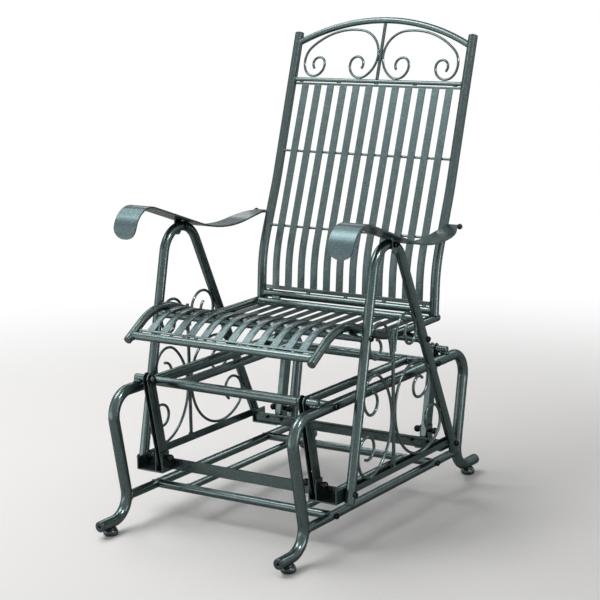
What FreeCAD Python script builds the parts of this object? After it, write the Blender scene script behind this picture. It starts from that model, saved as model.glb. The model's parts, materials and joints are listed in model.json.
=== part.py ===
import FreeCAD, Part
import math
import os
import Sketcher

V = FreeCAD.Vector

# Sizes in millimetres and degrees. Origin on the floor under the middle of the chair, +Z up, the
# sitter faces -Y and +X is the sitter's left.
SIZES = {
    # base: two bent leg frames standing on pads, tied by cross tubes
    "leg_plane": 233.0,
    "leg_tube": 25.0,
    "tube_wall": 1.5,
    "pad_height": 15.5,
    "pad_diameter": 31.0,
    "pad_tread": 8.5,
    "pad_edge": 3.5,
    "pad_neck": 27.0,
    "pad_reach": 396.0,
    "pad_seat": 4.0,
    "toe_reach": 430.0,
    "ankle_reach": 325.0,
    "ankle_bend": 50.0,
    "shoulder_reach": 381.0,
    "shoulder_bend": 52.0,
    "rail_height": 311.0,
    "lower_rail_height": 72.0,
    "lower_rail_tube": 20.0,
    "cross_reach": 223.5,
    "upper_cross_tube": 22.0,
    "lower_cross_tube": 19.0,
    "upper_brace_tube": 20.0,
    "upper_brace_plane": 162.0,
    "lower_brace_tube": 16.0,
    "lower_brace_plane": 150.0,
    "toe_cap": 4.0,
    "toe_cap_hole": 6.0,
    # pivots and swing arms
    "stub_diameter": 17.0,
    "stub_length": 27.0,
    "stub_outer_end": 238.0,
    "stub_sink": 1.0,
    "pin_diameter": 8.0,
    "pin_recess": 2.0,
    "pin_nut_diameter": 15.0,
    "pin_nut_length": 10.0,
    "running_clearance": 0.05,
    "open_pivot_clearance": 2.3,
    "side_play": 0.5,
    "upper_pivot_reach": 281.0,
    "lower_pivot_reach": 242.0,
    "lower_pivot_height": 143.0,
    "arm_width": 27.0,
    "arm_thickness": 14.0,
    "arm_wall": 2.5,
    "arm_overrun": 15.5,
    "arm_hole": 5.0,
    "arm_hole_rise": 28.0,
    # platform hung from the arms
    "tray_reach": 230.0,
    "tray_depth": 52.0,
    "tray_gauge": 3.0,
    "tray_floor": 108.0,
    "tray_outer_top": 137.0,
    "tray_lug": 13.0,
    "tray_lug_depth": 26.0,
    "ball_nut_diameter": 16.0,
    "ball_nut_flat": 9.6,
    "ball_nut_collar": 6.5,
    "platform_bar_height": 25.0,
    "platform_bar_gauge": 6.0,
    "platform_bar_reach": 214.0,
    "tray_bolt_side": 20.5,
    "tray_bolt_height": 124.5,
    "tray_bolt_head": 10.0,
    "tray_bolt_head_height": 4.5,
    "channel_gauge": 2.5,
    "channel_lift": 15.0,
    "channel_inner_height": 17.5,
    "channel_outer_height": 13.0,
    # arm frames and their scrollwork
    "frame_plane": 275.5,
    "frame_tube": 22.0,
    "frame_foot": 104.0,
    "frame_front_foot": 222.0,
    "frame_rear_foot": 244.0,
    "frame_apex_reach": 77.0,
    "frame_apex_height": 763.0,
    "frame_apex_bend": 64.0,
    "frame_bolt_height": 124.0,
    "panel_bar": 8.0,
    "panel_bar_reach": 35.0,
    "panel_bar_top": 448.0,
    "hook_rise": 22.0,
    "scroll_rod": 6.5,
    # seat
    "seat_plane": 238.5,
    "seat_tube": 19.0,
    "seat_front_reach": 304.0,
    "seat_front_height": 419.5,
    "seat_crest_reach": 195.6,
    "seat_crest_height": 486.0,
    "seat_crest_bend": 142.0,
    "seat_dip_reach": 1.0,
    "seat_dip_height": 416.0,
    "seat_dip_bend": 330.0,
    "seat_rear_height": 418.0,
    "seat_rail_overrun": 1.0,
    "seat_end_tube": 18.0,
    "seat_front_setback": 15.0,
    "seat_rear_gap": 30.0,
    "support_tube": 20.0,
    "strip_width": 12.0,
    "slat_gauge": 3.0,
    "slat_width": 19.0,
    "slat_pitch": 36.0,
    "slat_edge_gap": 15.0,
    # back
    "post_tube": 22.0,
    "post_foot_reach": 218.0,
    "post_saddle": 2.5,
    "post_low_bend_reach": 226.5,
    "post_low_bend_height": 535.0,
    "post_low_bend": 300.0,
    "post_high_bend_reach": 293.5,
    "post_high_bend_height": 700.0,
    "post_high_bend": 600.0,
    "post_top_reach": 408.0,
    "post_top_height": 1048.0,
    "back_bottom_tube": 18.0,
    "back_bottom_lift": 0.5,
    "header_tube": 10.0,
    "header_rise": 253.0,
    "header_strip_width": 8.0,
    "arch_tube": 15.0,
    "arch_end_rise": 341.5,
    "arch_lift": 61.0,
    "back_rod": 6.0,
    "upper_rod_height": 772.0,
    "lower_rod_height": 597.0,
    "crest_bar": 8.0,
    "crest_rod": 6.0,
    "crest_headroom": 2.75,
    "bracket_plane": 190.0,
    "bracket_width": 20.0,
    "bracket_gauge": 8.0,
    # armrests
    "armrest_plane": 279.0,
    "armrest_width": 62.0,
    "armrest_tip_width": 9.0,
    "armrest_post_gap": 2.0,
    "armrest_shoulder_side": 26.0,
    "armrest_shoulder_reach": 215.0,
    "armrest_shoulder_bend": 130.0,
    "armrest_gauge": 4.0,
    "armrest_fall": 19.0,
    "armrest_climb": 10.2,
    "armrest_front_reach": 264.0,
    "armrest_front_bend": 55.0,
    "armrest_dip_bend": 400.0,
    "armrest_lip_straight": 3.0,
    "armrest_lip_lean": 8.0,
    "armrest_lip_corner": 28.0,
    "armrest_tip_corner": 3.0,
    "armrest_tip_overhang": 10.0,
    "armrest_taper_reach": 100.0,
    "lug_height": 627.0,
    "lug_diameter": 8.0,
    "lug_ball": 13.0,
    "lug_clearance": 0.5,
    "tab_width": 24.0,
    "tab_gauge": 3.0,
    "tab_reach": 46.0,
    "tab_drop": 9.5,
    "tab_nut": 10.0,
    "tab_nut_height": 5.0,
    # button-headed bolts and end caps
    "bolt_diameter": 6.0,
    "bolt_clearance": 0.1,
    "bolt_head": 13.0,
    "bolt_head_height": 5.5,
    "bolt_grip": 6.0,
    "end_cap": 4.0,
}

doc = FreeCAD.newDocument("glider_chair")
sheet = doc.addObject("Spreadsheet::Sheet", "dims")
for row, (alias, value) in enumerate(SIZES.items(), 1):
    sheet.set(f"A{row}", alias)
    sheet.set(f"B{row}", str(value))
    sheet.setAlias(f"B{row}", alias)
# As many slats in a row as fit between the posts at the pitch
slat_room = "(2 * seat_plane - post_tube - 2 * slat_edge_gap - slat_width)"
sheet.set("D1", "slat_count")
sheet.set("E1", f"=floor({slat_room} / slat_pitch) + 1")
sheet.setAlias("E1", "slat_count")
doc.recompute()

S = {alias: float(sheet.get(alias)) for alias in SIZES}
nodes = []


# Plane paths: lists of pieces (x, y, heading, length, curvature), a left turn having curvature > 0.

def moved(x, y, heading, length, curvature):
    """Point and heading reached after going `length` along a piece."""
    if curvature == 0:
        return x + length * math.cos(heading), y + length * math.sin(heading), heading
    turned = heading + length * curvature
    across = (math.sin(turned) - math.sin(heading)) / curvature
    along = (math.cos(heading) - math.cos(turned)) / curvature
    return x + across, y + along, turned


def corner_path(points, radii):
    """Straight runs through `points` with tangent arcs of `radii` at the inner ones."""
    pieces = []
    x, y = points[0]
    for corner, after, radius in zip(points[1:], points[2:], radii):
        heading = math.atan2(corner[1] - y, corner[0] - x)
        leaving = math.atan2(after[1] - corner[1], after[0] - corner[0])
        turn = math.remainder(leaving - heading, 2 * math.pi)
        tangent = radius * math.tan(abs(turn) / 2)
        straight = math.hypot(corner[0] - x, corner[1] - y) - tangent
        pieces.append((x, y, heading, straight, 0.0))
        x, y, heading = moved(*pieces[-1])
        pieces.append((x, y, heading, abs(turn) * radius, math.copysign(1 / radius, turn)))
        x, y, heading = moved(*pieces[-1])
    end = points[-1]
    pieces.append((x, y, math.atan2(end[1] - y, end[0] - x), math.hypot(end[0] - x, end[1] - y), 0.0))
    return pieces


def bend_path(start, heading, bends):
    """Arcs one after another from `start`; each bend is (radius, turn in degrees)."""
    pieces = []
    x, y = start
    heading = math.radians(heading)
    for radius, turn in bends:
        length = radius * math.radians(abs(turn))
        pieces.append((x, y, heading, length, math.copysign(1 / radius, turn)))
        x, y, heading = moved(*pieces[-1])
    return pieces


def path_length(path):
    return sum(piece[3] for piece in path)


def at_length(path, distance):
    """Point and heading at `distance` along the path."""
    for piece in path[:-1]:
        if distance <= piece[3]:
            return moved(*piece[:3], distance, piece[4])
        distance -= piece[3]
    return moved(*path[-1][:3], distance, path[-1][4])


def trimmed(path, begin, finish):
    """The stretch of the path between two distances along it."""
    kept = []
    passed = 0.0
    for piece in path:
        low = max(begin - passed, 0.0)
        high = min(finish - passed, piece[3])
        if high > low:
            kept.append((*moved(*piece[:3], low, piece[4]), high - low, piece[4]))
        passed += piece[3]
    return kept


def shifted(path, offset):
    """The path moved sideways, to its left when `offset` is positive."""
    result = []
    for x, y, heading, length, curvature in path:
        shrink = 1 - offset * curvature
        side = (x - offset * math.sin(heading), y + offset * math.cos(heading))
        result.append((*side, heading, length * shrink, curvature / shrink))
    return result


def carried(path, across, up):
    """The path moved bodily."""
    return [(x + across, y + up, *rest) for x, y, *rest in path]


def distance_where(path, index, value):
    """Distance along the path at which its coordinate `index` first passes `value`."""
    total = path_length(path)
    steps = 600
    marks = [total * k / steps for k in range(steps + 1)]
    for low, high in zip(marks, marks[1:]):
        before = at_length(path, low)[index] - value
        after = at_length(path, high)[index] - value
        if before * after <= 0:
            return low + (high - low) * before / (before - after)
    raise ValueError("the path does not reach this value")


def edges(path):
    """Lines and arcs of the path for a sketch."""
    result = []
    for x, y, heading, length, curvature in path:
        if curvature == 0:
            end = moved(x, y, heading, length, curvature)
            result.append(Part.LineSegment(V(x, y, 0), V(end[0], end[1], 0)))
            continue
        radius = 1 / curvature
        centre = V(x - radius * math.sin(heading), y + radius * math.cos(heading), 0)
        first = heading - math.copysign(math.pi / 2, curvature)
        last = first + length * curvature
        circle = Part.Circle(centre, V(0, 0, 1), abs(radius))
        result.append(Part.ArcOfCircle(circle, min(first, last), max(first, last)))
    return result


def wire_of(path):
    return Part.Wire(Part.__sortEdges__([edge.toShape() for edge in edges(path)]))


def closest(path, point):
    """Distance from a point to the path."""
    return wire_of(path).distToShape(Part.Vertex(V(*point, 0)))[0]


# Building blocks

def plane(body, role):
    return next(f for f in body.Origin.OriginFeatures if f.Role == role)


def new_body(name):
    return doc.addObject("PartDesign::Body", name)


def new_sketch(body, name, role):
    sketch = body.newObject("Sketcher::SketchObject", name)
    sketch.AttachmentSupport = [(plane(body, role), "")]
    sketch.MapMode = "FlatFace"
    return sketch


def add_ring(sketch, diameter, wall):
    """Circles about the sketch origin for a rod, or for a tube when `wall` names a size."""
    radii = [f"dims.{diameter} / 2"]
    values = [S[diameter] / 2]
    if wall:
        radii.append(f"dims.{diameter} / 2 - dims.{wall}")
        values.append(S[diameter] / 2 - S[wall])
    for expression, value in zip(radii, values):
        ring = sketch.addGeometry(Part.Circle(V(0, 0, 0), V(0, 0, 1), value))
        sketch.addConstraint(Sketcher.Constraint("Coincident", ring, 3, -1, 1))
        size = sketch.addConstraint(Sketcher.Constraint("Radius", ring, value))
        sketch.setExpression(f"Constraints[{size}]", expression)


def place(item, x="0", y="0", z="0"):
    """Put an object at sizes or sums of sizes."""
    for axis, text in zip("xyz", (x, y, z)):
        item.setExpression(f"Placement.Base.{axis}", text)


def straight_bar(name, diameter, length, role, wall=None):
    """Rod or tube centred on the origin, square to the plane `role`; `length` is an expression."""
    body = new_body(name)
    sketch = new_sketch(body, name + "_section", role)
    add_ring(sketch, diameter, wall)
    pad = body.newObject("PartDesign::Pad", name + "_run")
    pad.Profile = sketch
    pad.setExpression("Length", length)
    pad.SideType = "Symmetric"
    return body


def bent_bar(name, path, diameter, role, wall=None):
    """Rod or tube swept along a plane path."""
    body = new_body(name)
    route = new_sketch(body, name + "_route", role)
    for edge in edges(path):
        route.addGeometry(edge)
    doc.recompute()
    section = body.newObject("Sketcher::SketchObject", name + "_section")
    section.AttachmentSupport = [(route, "Edge1")]
    section.MapMode = "NormalToEdge"
    section.MapPathParameter = 1 if path[0][4] < 0 else 0
    add_ring(section, diameter, wall)
    sweep = body.newObject("PartDesign::AdditivePipe", name + "_sweep")
    sweep.Profile = section
    sweep.Spine = (route, [])
    return body


def ribbon(name, path, gauge, width, role):
    """Strip of thickness `gauge` bent along a plane path; `width` is an expression."""
    body = new_body(name)
    sketch = new_sketch(body, name + "_edge", role)
    upper = shifted(path, gauge / 2)
    lower = shifted(path, -gauge / 2)
    for edge in edges(upper) + edges(lower):
        sketch.addGeometry(edge)
    for distance in (0, path_length(path)):
        x, y, heading = at_length(path, distance)
        side = V(-math.sin(heading), math.cos(heading), 0) * (gauge / 2)
        sketch.addGeometry(Part.LineSegment(V(x, y, 0) + side, V(x, y, 0) - side))
    pad = body.newObject("PartDesign::Pad", name + "_run")
    pad.Profile = sketch
    pad.setExpression("Length", width)
    pad.SideType = "Symmetric"
    return body


def outline_pad(name, points, role, length):
    """Straight-sided outline padded evenly to both sides of its plane."""
    body = new_body(name)
    sketch = new_sketch(body, name + "_outline", role)
    for start, end in zip(points, points[1:] + points[:1]):
        sketch.addGeometry(Part.LineSegment(V(*start, 0), V(*end, 0)))
    pad = body.newObject("PartDesign::Pad", name + "_run")
    pad.Profile = sketch
    pad.setExpression("Length", length)
    pad.SideType = "Symmetric"
    return body


def pocket_ring(body, name, role, centre, radius):
    """Round hole right through a body, square to the plane `role`; `radius` is an expression."""
    sketch = new_sketch(body, name + "_circle", role)
    ring = sketch.addGeometry(Part.Circle(V(*centre, 0), V(0, 0, 1), S["pin_diameter"]))
    size = sketch.addConstraint(Sketcher.Constraint("Radius", ring, S["pin_diameter"]))
    sketch.setExpression(f"Constraints[{size}]", radius)
    hole = body.newObject("PartDesign::Pocket", name)
    hole.Profile = sketch
    hole.Type = "ThroughAll"
    hole.SideType = "Symmetric"
    return hole


def drill(name, radius, length, x, y, z):
    """Cylinder lying along X, centred at x, y, z, used to bore bolt holes."""
    tool = doc.addObject("Part::Cylinder", name)
    tool.setExpression("Radius", radius)
    tool.Height = length
    tool.Placement = FreeCAD.Placement(V(x - length / 2, y, z), FreeCAD.Rotation(V(0, 1, 0), 90))
    return tool


def gathered(name, items):
    result = doc.addObject("Part::Compound", name)
    result.Links = items
    return result


def cut(name, stock, tools):
    """The stock with every tool taken away."""
    result = doc.addObject("Part::Cut", name)
    result.Base = stock
    result.Tool = gathered(name + "_tools", tools) if len(tools) > 1 else tools[0]
    return result


def mirrored(name, source, normal):
    result = doc.addObject("Part::Mirroring", name)
    result.Source = source
    result.Base = V(0, 0, 0)
    result.Normal = normal
    return result


ACROSS = V(1, 0, 0)
ALONG = V(0, 1, 0)


def node(item, label):
    """Name an object as one of the chair's pieces."""
    item.Label = label
    nodes.append(item)
    return item


def pair(right_item, right_label, left_label):
    """A piece of the +X side and its mirror image on the -X side."""
    node(right_item, right_label)
    return node(mirrored(left_label, right_item, ACROSS), left_label)


def four(name, item):
    """A piece repeated at all four corners."""
    side = mirrored(name + "_side", item, ACROSS)
    rear = mirrored(name + "_rear", item, ALONG)
    far = mirrored(name + "_far", rear, ACROSS)
    return node(gathered(name, [item, side, rear, far]), name)


def both_sides(name, items):
    """Pieces of the +X side together with their mirror images."""
    sides = [mirrored(f"{name}_side_{k}", item, ACROSS) for k, item in enumerate(items)]
    return node(gathered(name, items + sides), name)


def solid(name, shape):
    item = doc.addObject("Part::Feature", name)
    item.Shape = shape
    return item


def button(point, direction, diameter, height):
    """Round head or cap with a rolled rim, standing on `point`."""
    head = Part.makeCylinder(diameter / 2, height, point, direction)
    outer = point + direction * height
    rim = [e for e in head.Edges if e.Closed and e.CenterOfMass.distanceToPoint(outer) < height / 4]
    return head.makeFillet(1 / (1 / height + 2 / diameter), rim)


def bolt(point, grip):
    """Button-headed bolt lying along X: head outward from `point`, shank inward by `grip`."""
    head = button(point, V(1, 0, 0), S["bolt_head"], S["bolt_head_height"])
    shank = Part.makeCylinder(S["bolt_diameter"] / 2, grip, point, V(-1, 0, 0))
    return head.fuse(shank).removeSplitter()


bolt_hole = "dims.bolt_diameter / 2 + dims.bolt_clearance"
pin_hole = "dims.pin_diameter / 2 + dims.running_clearance"

# Base

toe_height = S["pad_height"] + S["leg_tube"] / 2
leg_path = corner_path(
    [
        (-S["toe_reach"], toe_height),
        (-S["ankle_reach"], toe_height),
        (-S["shoulder_reach"], S["rail_height"]),
        (S["shoulder_reach"], S["rail_height"]),
        (S["ankle_reach"], toe_height),
        (S["toe_reach"], toe_height),
    ],
    [S["ankle_bend"], S["shoulder_bend"], S["shoulder_bend"], S["ankle_bend"]],
)
leg_tube = bent_bar("leg_tube_form", leg_path, "leg_tube", "YZ_Plane", "tube_wall")
leg_core = bent_bar("leg_core", leg_path, "leg_tube", "YZ_Plane")
for item in (leg_tube, leg_core):
    place(item, "dims.leg_plane")
leg_core_left = mirrored("leg_core_left", leg_core, ACROSS)

drill_length = 2 * S["leg_tube"]
upper_drills = [
    drill(f"upper_drill_{k}", bolt_hole, drill_length, S["leg_plane"], y, S["rail_height"])
    for k, y in enumerate((-S["cross_reach"], S["cross_reach"]))
]
lower_drills = [
    drill(f"lower_drill_{k}", bolt_hole, drill_length, S["leg_plane"], y, S["lower_rail_height"])
    for k, y in enumerate((-S["cross_reach"], S["cross_reach"]))
]
pair(cut("right_leg", leg_tube, upper_drills), "right_leg_frame", "left_leg_frame")

rail_end = abs(at_length(leg_path, distance_where(leg_path, 1, S["lower_rail_height"]))[0])
rail_length = f"{2 * rail_end}"
lower_rail = straight_bar("lower_rail_form", "lower_rail_tube", rail_length, "XZ_Plane", "tube_wall")
place(lower_rail, "dims.leg_plane", "0", "dims.lower_rail_height")
pair(cut("right_rail", lower_rail, [leg_core] + lower_drills), "right_lower_rail", "left_lower_rail")
core_length = "2 * dims.cross_reach + 2 * dims.lower_cross_tube"
rail_core = straight_bar("rail_core", "lower_rail_tube", core_length, "XZ_Plane")
place(rail_core, "dims.leg_plane", "0", "dims.lower_rail_height")
rail_core_left = mirrored("rail_core_left", rail_core, ACROSS)

cross_levels = (
    ("lower", "lower_cross_tube", "dims.lower_rail_height", [rail_core, rail_core_left]),
    ("upper", "upper_cross_tube", "dims.rail_height", [leg_core, leg_core_left]),
)
cross_cores = {}
for level, tube, height, saddles in cross_levels:
    stock = straight_bar(f"{level}_cross_form", tube, "2 * dims.leg_plane", "YZ_Plane", "tube_wall")
    place(stock, "0", "-dims.cross_reach", height)
    front = node(cut(f"{level}_cross", stock, saddles), f"front_{level}_cross_tube")
    node(mirrored(f"{level}_cross_rear", front, ALONG), f"rear_{level}_cross_tube")
    core = straight_bar(f"{level}_cross_core", tube, "2 * dims.leg_plane", "YZ_Plane")
    place(core, "0", "-dims.cross_reach", height)
    cross_cores[level] = [core, mirrored(f"{level}_cross_core_rear", core, ALONG)]
    brace = straight_bar(f"{level}_brace_form", f"{level}_brace_tube", "2 * dims.cross_reach",
                         "XZ_Plane", "tube_wall")
    place(brace, f"dims.{level}_brace_plane", "0", height)
    both_sides(f"{level}_brace_bars", [cut(f"{level}_brace", brace, cross_cores[level])])

pad_spot = V(S["leg_plane"], -S["pad_reach"], 0)
tread = Part.makeCylinder(S["pad_diameter"] / 2, S["pad_tread"], pad_spot)
tread = tread.makeFillet(S["pad_edge"], [edge for edge in tread.Edges if len(edge.Vertexes) == 1])
neck_start = S["pad_tread"] / 2
neck_length = S["pad_height"] + S["pad_seat"] - neck_start
neck = Part.makeCylinder(S["pad_neck"] / 2, neck_length, pad_spot + V(0, 0, neck_start))
four("foot_pads", cut("pad_seated", solid("pad_form", tread.fuse(neck)), [leg_core]))

toe_end = V(S["leg_plane"], -S["toe_reach"], toe_height)
toe_plug = button(toe_end, V(0, -1, 0), S["leg_tube"], S["toe_cap"])
bore_start = toe_end + V(0, S["toe_cap"], 0)
toe_bore = Part.makeCylinder(S["toe_cap_hole"] / 2, S["toe_cap"] * 3, bore_start, V(0, -1, 0))
four("toe_caps", solid("toe_cap_form", toe_plug.cut(toe_bore)))

# Pivot stubs, pins and swing arms

pivot_height = S["rail_height"] + (S["leg_tube"] + S["stub_diameter"]) / 2 - S["stub_sink"]
stub_inner_end = S["stub_outer_end"] - S["stub_length"]
arm_plane = stub_inner_end - S["side_play"] - S["arm_thickness"] / 2
arm_inner_face = arm_plane - S["arm_thickness"] / 2
upper_pivot = V(arm_plane, -S["upper_pivot_reach"], pivot_height)
lower_pivot = V(arm_plane, -S["lower_pivot_reach"], S["lower_pivot_height"])

stub = straight_bar("stub_form", "stub_diameter", "dims.stub_length", "YZ_Plane")
pocket_ring(stub, "stub_bore", "YZ_Plane", (0, 0), pin_hole)
stub.Placement.Base = V(S["stub_outer_end"] - S["stub_length"] / 2, upper_pivot.y, upper_pivot.z)
four("pivot_stubs", cut("stub_seated", stub, [leg_core]))

pin_start = V(S["stub_outer_end"] - S["pin_recess"], upper_pivot.y, upper_pivot.z)
nut_face = V(arm_inner_face - S["side_play"], upper_pivot.y, upper_pivot.z)
pin_run = pin_start.x - nut_face.x + S["pin_nut_length"] / 2
pin = Part.makeCylinder(S["pin_diameter"] / 2, pin_run, pin_start, V(-1, 0, 0))
pin_nut = button(nut_face, V(-1, 0, 0), S["pin_nut_diameter"], S["pin_nut_length"])
four("upper_pivot_pins", solid("upper_pin_form", pin.fuse(pin_nut).removeSplitter()))

arm_run = (lower_pivot - upper_pivot).Length
arm_lean = math.degrees(math.atan2(lower_pivot.y - upper_pivot.y, upper_pivot.z - lower_pivot.z))


def swing_arm(name, lower_hole):
    """Channel with round ends hanging from the front upper pivot, open towards the front."""
    body = new_body(name)
    half = S["arm_width"] / 2
    sketch = new_sketch(body, name + "_outline", "YZ_Plane")
    foot = -arm_run - S["arm_overrun"]
    sketch.addGeometry(Part.LineSegment(V(half, 0, 0), V(half, foot, 0)))
    sketch.addGeometry(Part.LineSegment(V(-half, 0, 0), V(-half, foot, 0)))
    sketch.addGeometry(Part.ArcOfCircle(Part.Circle(V(0, 0, 0), V(0, 0, 1), half), 0, math.pi))
    low_end = Part.Circle(V(0, foot, 0), V(0, 0, 1), half)
    sketch.addGeometry(Part.ArcOfCircle(low_end, math.pi, 2 * math.pi))
    bar = body.newObject("PartDesign::Pad", name + "_bar")
    bar.Profile = sketch
    bar.setExpression("Length", "dims.arm_thickness")
    bar.SideType = "Symmetric"
    web = half - S["arm_wall"]
    over = 2 * half
    corners = [(-over, over), (web, over), (web, foot - over), (-over, foot - over)]
    hollow = new_sketch(body, name + "_hollow", "YZ_Plane")
    for start, end in zip(corners, corners[1:] + corners[:1]):
        hollow.addGeometry(Part.LineSegment(V(*start, 0), V(*end, 0)))
    channel = body.newObject("PartDesign::Pocket", name + "_channel")
    channel.Profile = hollow
    channel.setExpression("Length", "dims.arm_thickness - 2 * dims.arm_wall")
    channel.SideType = "Symmetric"
    pocket_ring(body, name + "_upper_hole", "YZ_Plane", (0, 0), pin_hole)
    pocket_ring(body, name + "_lower_hole", "YZ_Plane", (0, -arm_run), lower_hole)
    cross_hole = (0, S["arm_hole_rise"] - arm_run)
    pocket_ring(body, name + "_cross_hole", "YZ_Plane", cross_hole, "dims.arm_hole / 2")
    body.Placement = FreeCAD.Placement(upper_pivot, FreeCAD.Rotation(V(1, 0, 0), arm_lean))
    return body


pair(swing_arm("front_arm", pin_hole), "right_front_swing_arm", "left_front_swing_arm")
open_hole = "dims.pin_diameter / 2 + dims.open_pivot_clearance"
rear_arm = mirrored("rear_arm", swing_arm("rear_arm_form", open_hole), ALONG)
pair(rear_arm, "right_rear_swing_arm", "left_rear_swing_arm")

# Arm frames

frame_path = corner_path(
    [
        (-S["frame_front_foot"], S["frame_foot"]),
        (-S["frame_apex_reach"], S["frame_apex_height"]),
        (S["frame_rear_foot"], S["frame_foot"]),
    ],
    [S["frame_apex_bend"]],
)
front_limb = trimmed(frame_path, 0, path_length(frame_path) / 2)
rear_limb = trimmed(frame_path, path_length(frame_path) / 2, path_length(frame_path))
frame_tube = bent_bar("frame_tube_form", frame_path, "frame_tube", "YZ_Plane", "tube_wall")
frame_core = bent_bar("frame_core", frame_path, "frame_tube", "YZ_Plane")
for item in (frame_tube, frame_core):
    place(item, "dims.frame_plane")
frame_core_left = mirrored("frame_core_left", frame_core, ACROSS)


def on_limb(limb, height):
    """Point of a limb's centreline at a height."""
    y, z, heading = at_length(limb, distance_where(limb, 1, height))
    return y, z


post_foot = S["seat_rear_height"] + S["seat_tube"] / 2 - S["post_saddle"]
low_bend = (S["post_low_bend_reach"], S["post_low_bend_height"])
high_bend = (S["post_high_bend_reach"], S["post_high_bend_height"])
post_top = (S["post_top_reach"], S["post_top_height"])
post_path = corner_path(
    [(S["post_foot_reach"], post_foot), low_bend, high_bend, post_top],
    [S["post_low_bend"], S["post_high_bend"]],
)
seat_path = corner_path(
    [
        (-S["seat_front_reach"], S["seat_front_height"]),
        (-S["seat_crest_reach"], S["seat_crest_height"]),
        (-S["seat_dip_reach"], S["seat_dip_height"]),
        (S["post_foot_reach"] + S["post_tube"] / 2 + S["seat_rail_overrun"], S["seat_rear_height"]),
    ],
    [S["seat_crest_bend"], S["seat_dip_bend"]],
)


def support_under_seat(limb):
    """Centre, on a limb, of a tube that touches the seat rail from below."""
    wanted = (S["seat_tube"] + S["support_tube"]) / 2
    low = S["frame_bolt_height"]
    high = S["seat_rear_height"]
    crest = max(at_length(seat_path, path_length(seat_path) * k / 200)[1] for k in range(201))
    while closest(seat_path, on_limb(limb, high)) > wanted and high < crest:
        high += S["support_tube"] / 4
    for halving in range(50):
        middle = (low + high) / 2
        if closest(seat_path, on_limb(limb, middle)) > wanted:
            low = middle
        else:
            high = middle
    return on_limb(limb, (low + high) / 2)


foot_bolts = [on_limb(limb, S["frame_bolt_height"]) for limb in (front_limb, rear_limb)]
supports = [support_under_seat(limb) for limb in (front_limb, rear_limb)]
tab_spot = at_length(frame_path, distance_where(frame_path, 0, -S["tab_reach"]))[:2]
frame_drills = [
    drill(f"frame_drill_{k}", bolt_hole, 2 * S["frame_tube"], S["frame_plane"], *spot)
    for k, spot in enumerate(foot_bolts + supports + [tab_spot])
]
pair(cut("right_frame", frame_tube, frame_drills), "right_arm_frame", "left_arm_frame")

for label, spot in zip(("front_seat_support", "rear_seat_support"), supports):
    stock = straight_bar(label + "_form", "support_tube", "2 * dims.frame_plane", "YZ_Plane", "tube_wall")
    stock.Placement.Base = V(0, *spot)
    node(cut(label + "_cut", stock, [frame_core, frame_core_left]), label)

# Corner brackets, platform bars and side channels

flange_outer = S["frame_plane"] - S["frame_tube"] / 2
flange_inner = arm_inner_face - S["side_play"]
tab_inner = arm_plane + S["arm_thickness"] / 2 + S["side_play"]
gauge = S["tray_gauge"]
tray_top = S["tray_floor"] + gauge
lug_top = S["lower_pivot_height"] + S["tray_lug"]
tray_section = [
    (flange_inner - gauge, S["tray_floor"]),
    (flange_outer, S["tray_floor"]),
    (flange_outer, S["tray_outer_top"]),
    (flange_outer - gauge, S["tray_outer_top"]),
    (flange_outer - gauge, tray_top),
    (tab_inner + gauge, tray_top),
    (tab_inner + gauge, lug_top),
    (tab_inner, lug_top),
    (tab_inner, tray_top),
    (flange_inner, tray_top),
    (flange_inner, lug_top),
    (flange_inner - gauge, lug_top),
]
tray = outline_pad("tray_form", tray_section, "XZ_Plane", "dims.tray_depth")
place(tray, "0", "-dims.tray_reach")
lug_half = S["tray_lug_depth"] / 2
lug_run = tab_inner - flange_inner + 4 * gauge
lug_trims = []
for k, start in enumerate((lower_pivot.y - lug_half - S["tray_depth"], lower_pivot.y + lug_half)):
    corner = V(flange_inner - 2 * gauge, start, tray_top)
    lug_trims.append(solid(f"lug_trim_{k}", Part.makeBox(lug_run, S["tray_depth"], lug_top, corner)))
pin_drill = drill("pin_drill", pin_hole, 4 * S["arm_thickness"], *lower_pivot)
bored = cut("tray_bored", tray, lug_trims + [pin_drill])
front_tray = cut("front_tray", bored, [frame_drills[0]])
rear_tray = cut("rear_tray", mirrored("tray_rear", bored, ALONG), [frame_drills[1]])
both_sides("corner_brackets", [front_tray, rear_tray])

bolt_left = V(flange_inner - gauge, lower_pivot.y, lower_pivot.z)
bolt_right = V(tab_inner + gauge, lower_pivot.y, lower_pivot.z)
lower_pin = Part.makeCylinder(S["pin_diameter"] / 2, (bolt_right - bolt_left).Length, bolt_left, V(1, 0, 0))
collar = S["ball_nut_collar"]
ball = S["ball_nut_diameter"] / 2
flat_latitude = math.acos(S["ball_nut_flat"] / S["ball_nut_diameter"])
for face, outward in ((bolt_left, V(-1, 0, 0)), (bolt_right, V(1, 0, 0))):
    sleeve = Part.makeCylinder(S["ball_nut_flat"] / 2, collar, face, outward)
    middle = face + outward * (collar + ball * math.sin(flat_latitude))
    nut = Part.makeSphere(ball, middle, outward, -math.degrees(flat_latitude), 90, 360)
    lower_pin = lower_pin.fuse([sleeve, nut])
four("lower_pivot_bolts", solid("lower_pin_form", lower_pin.removeSplitter()))

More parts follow.
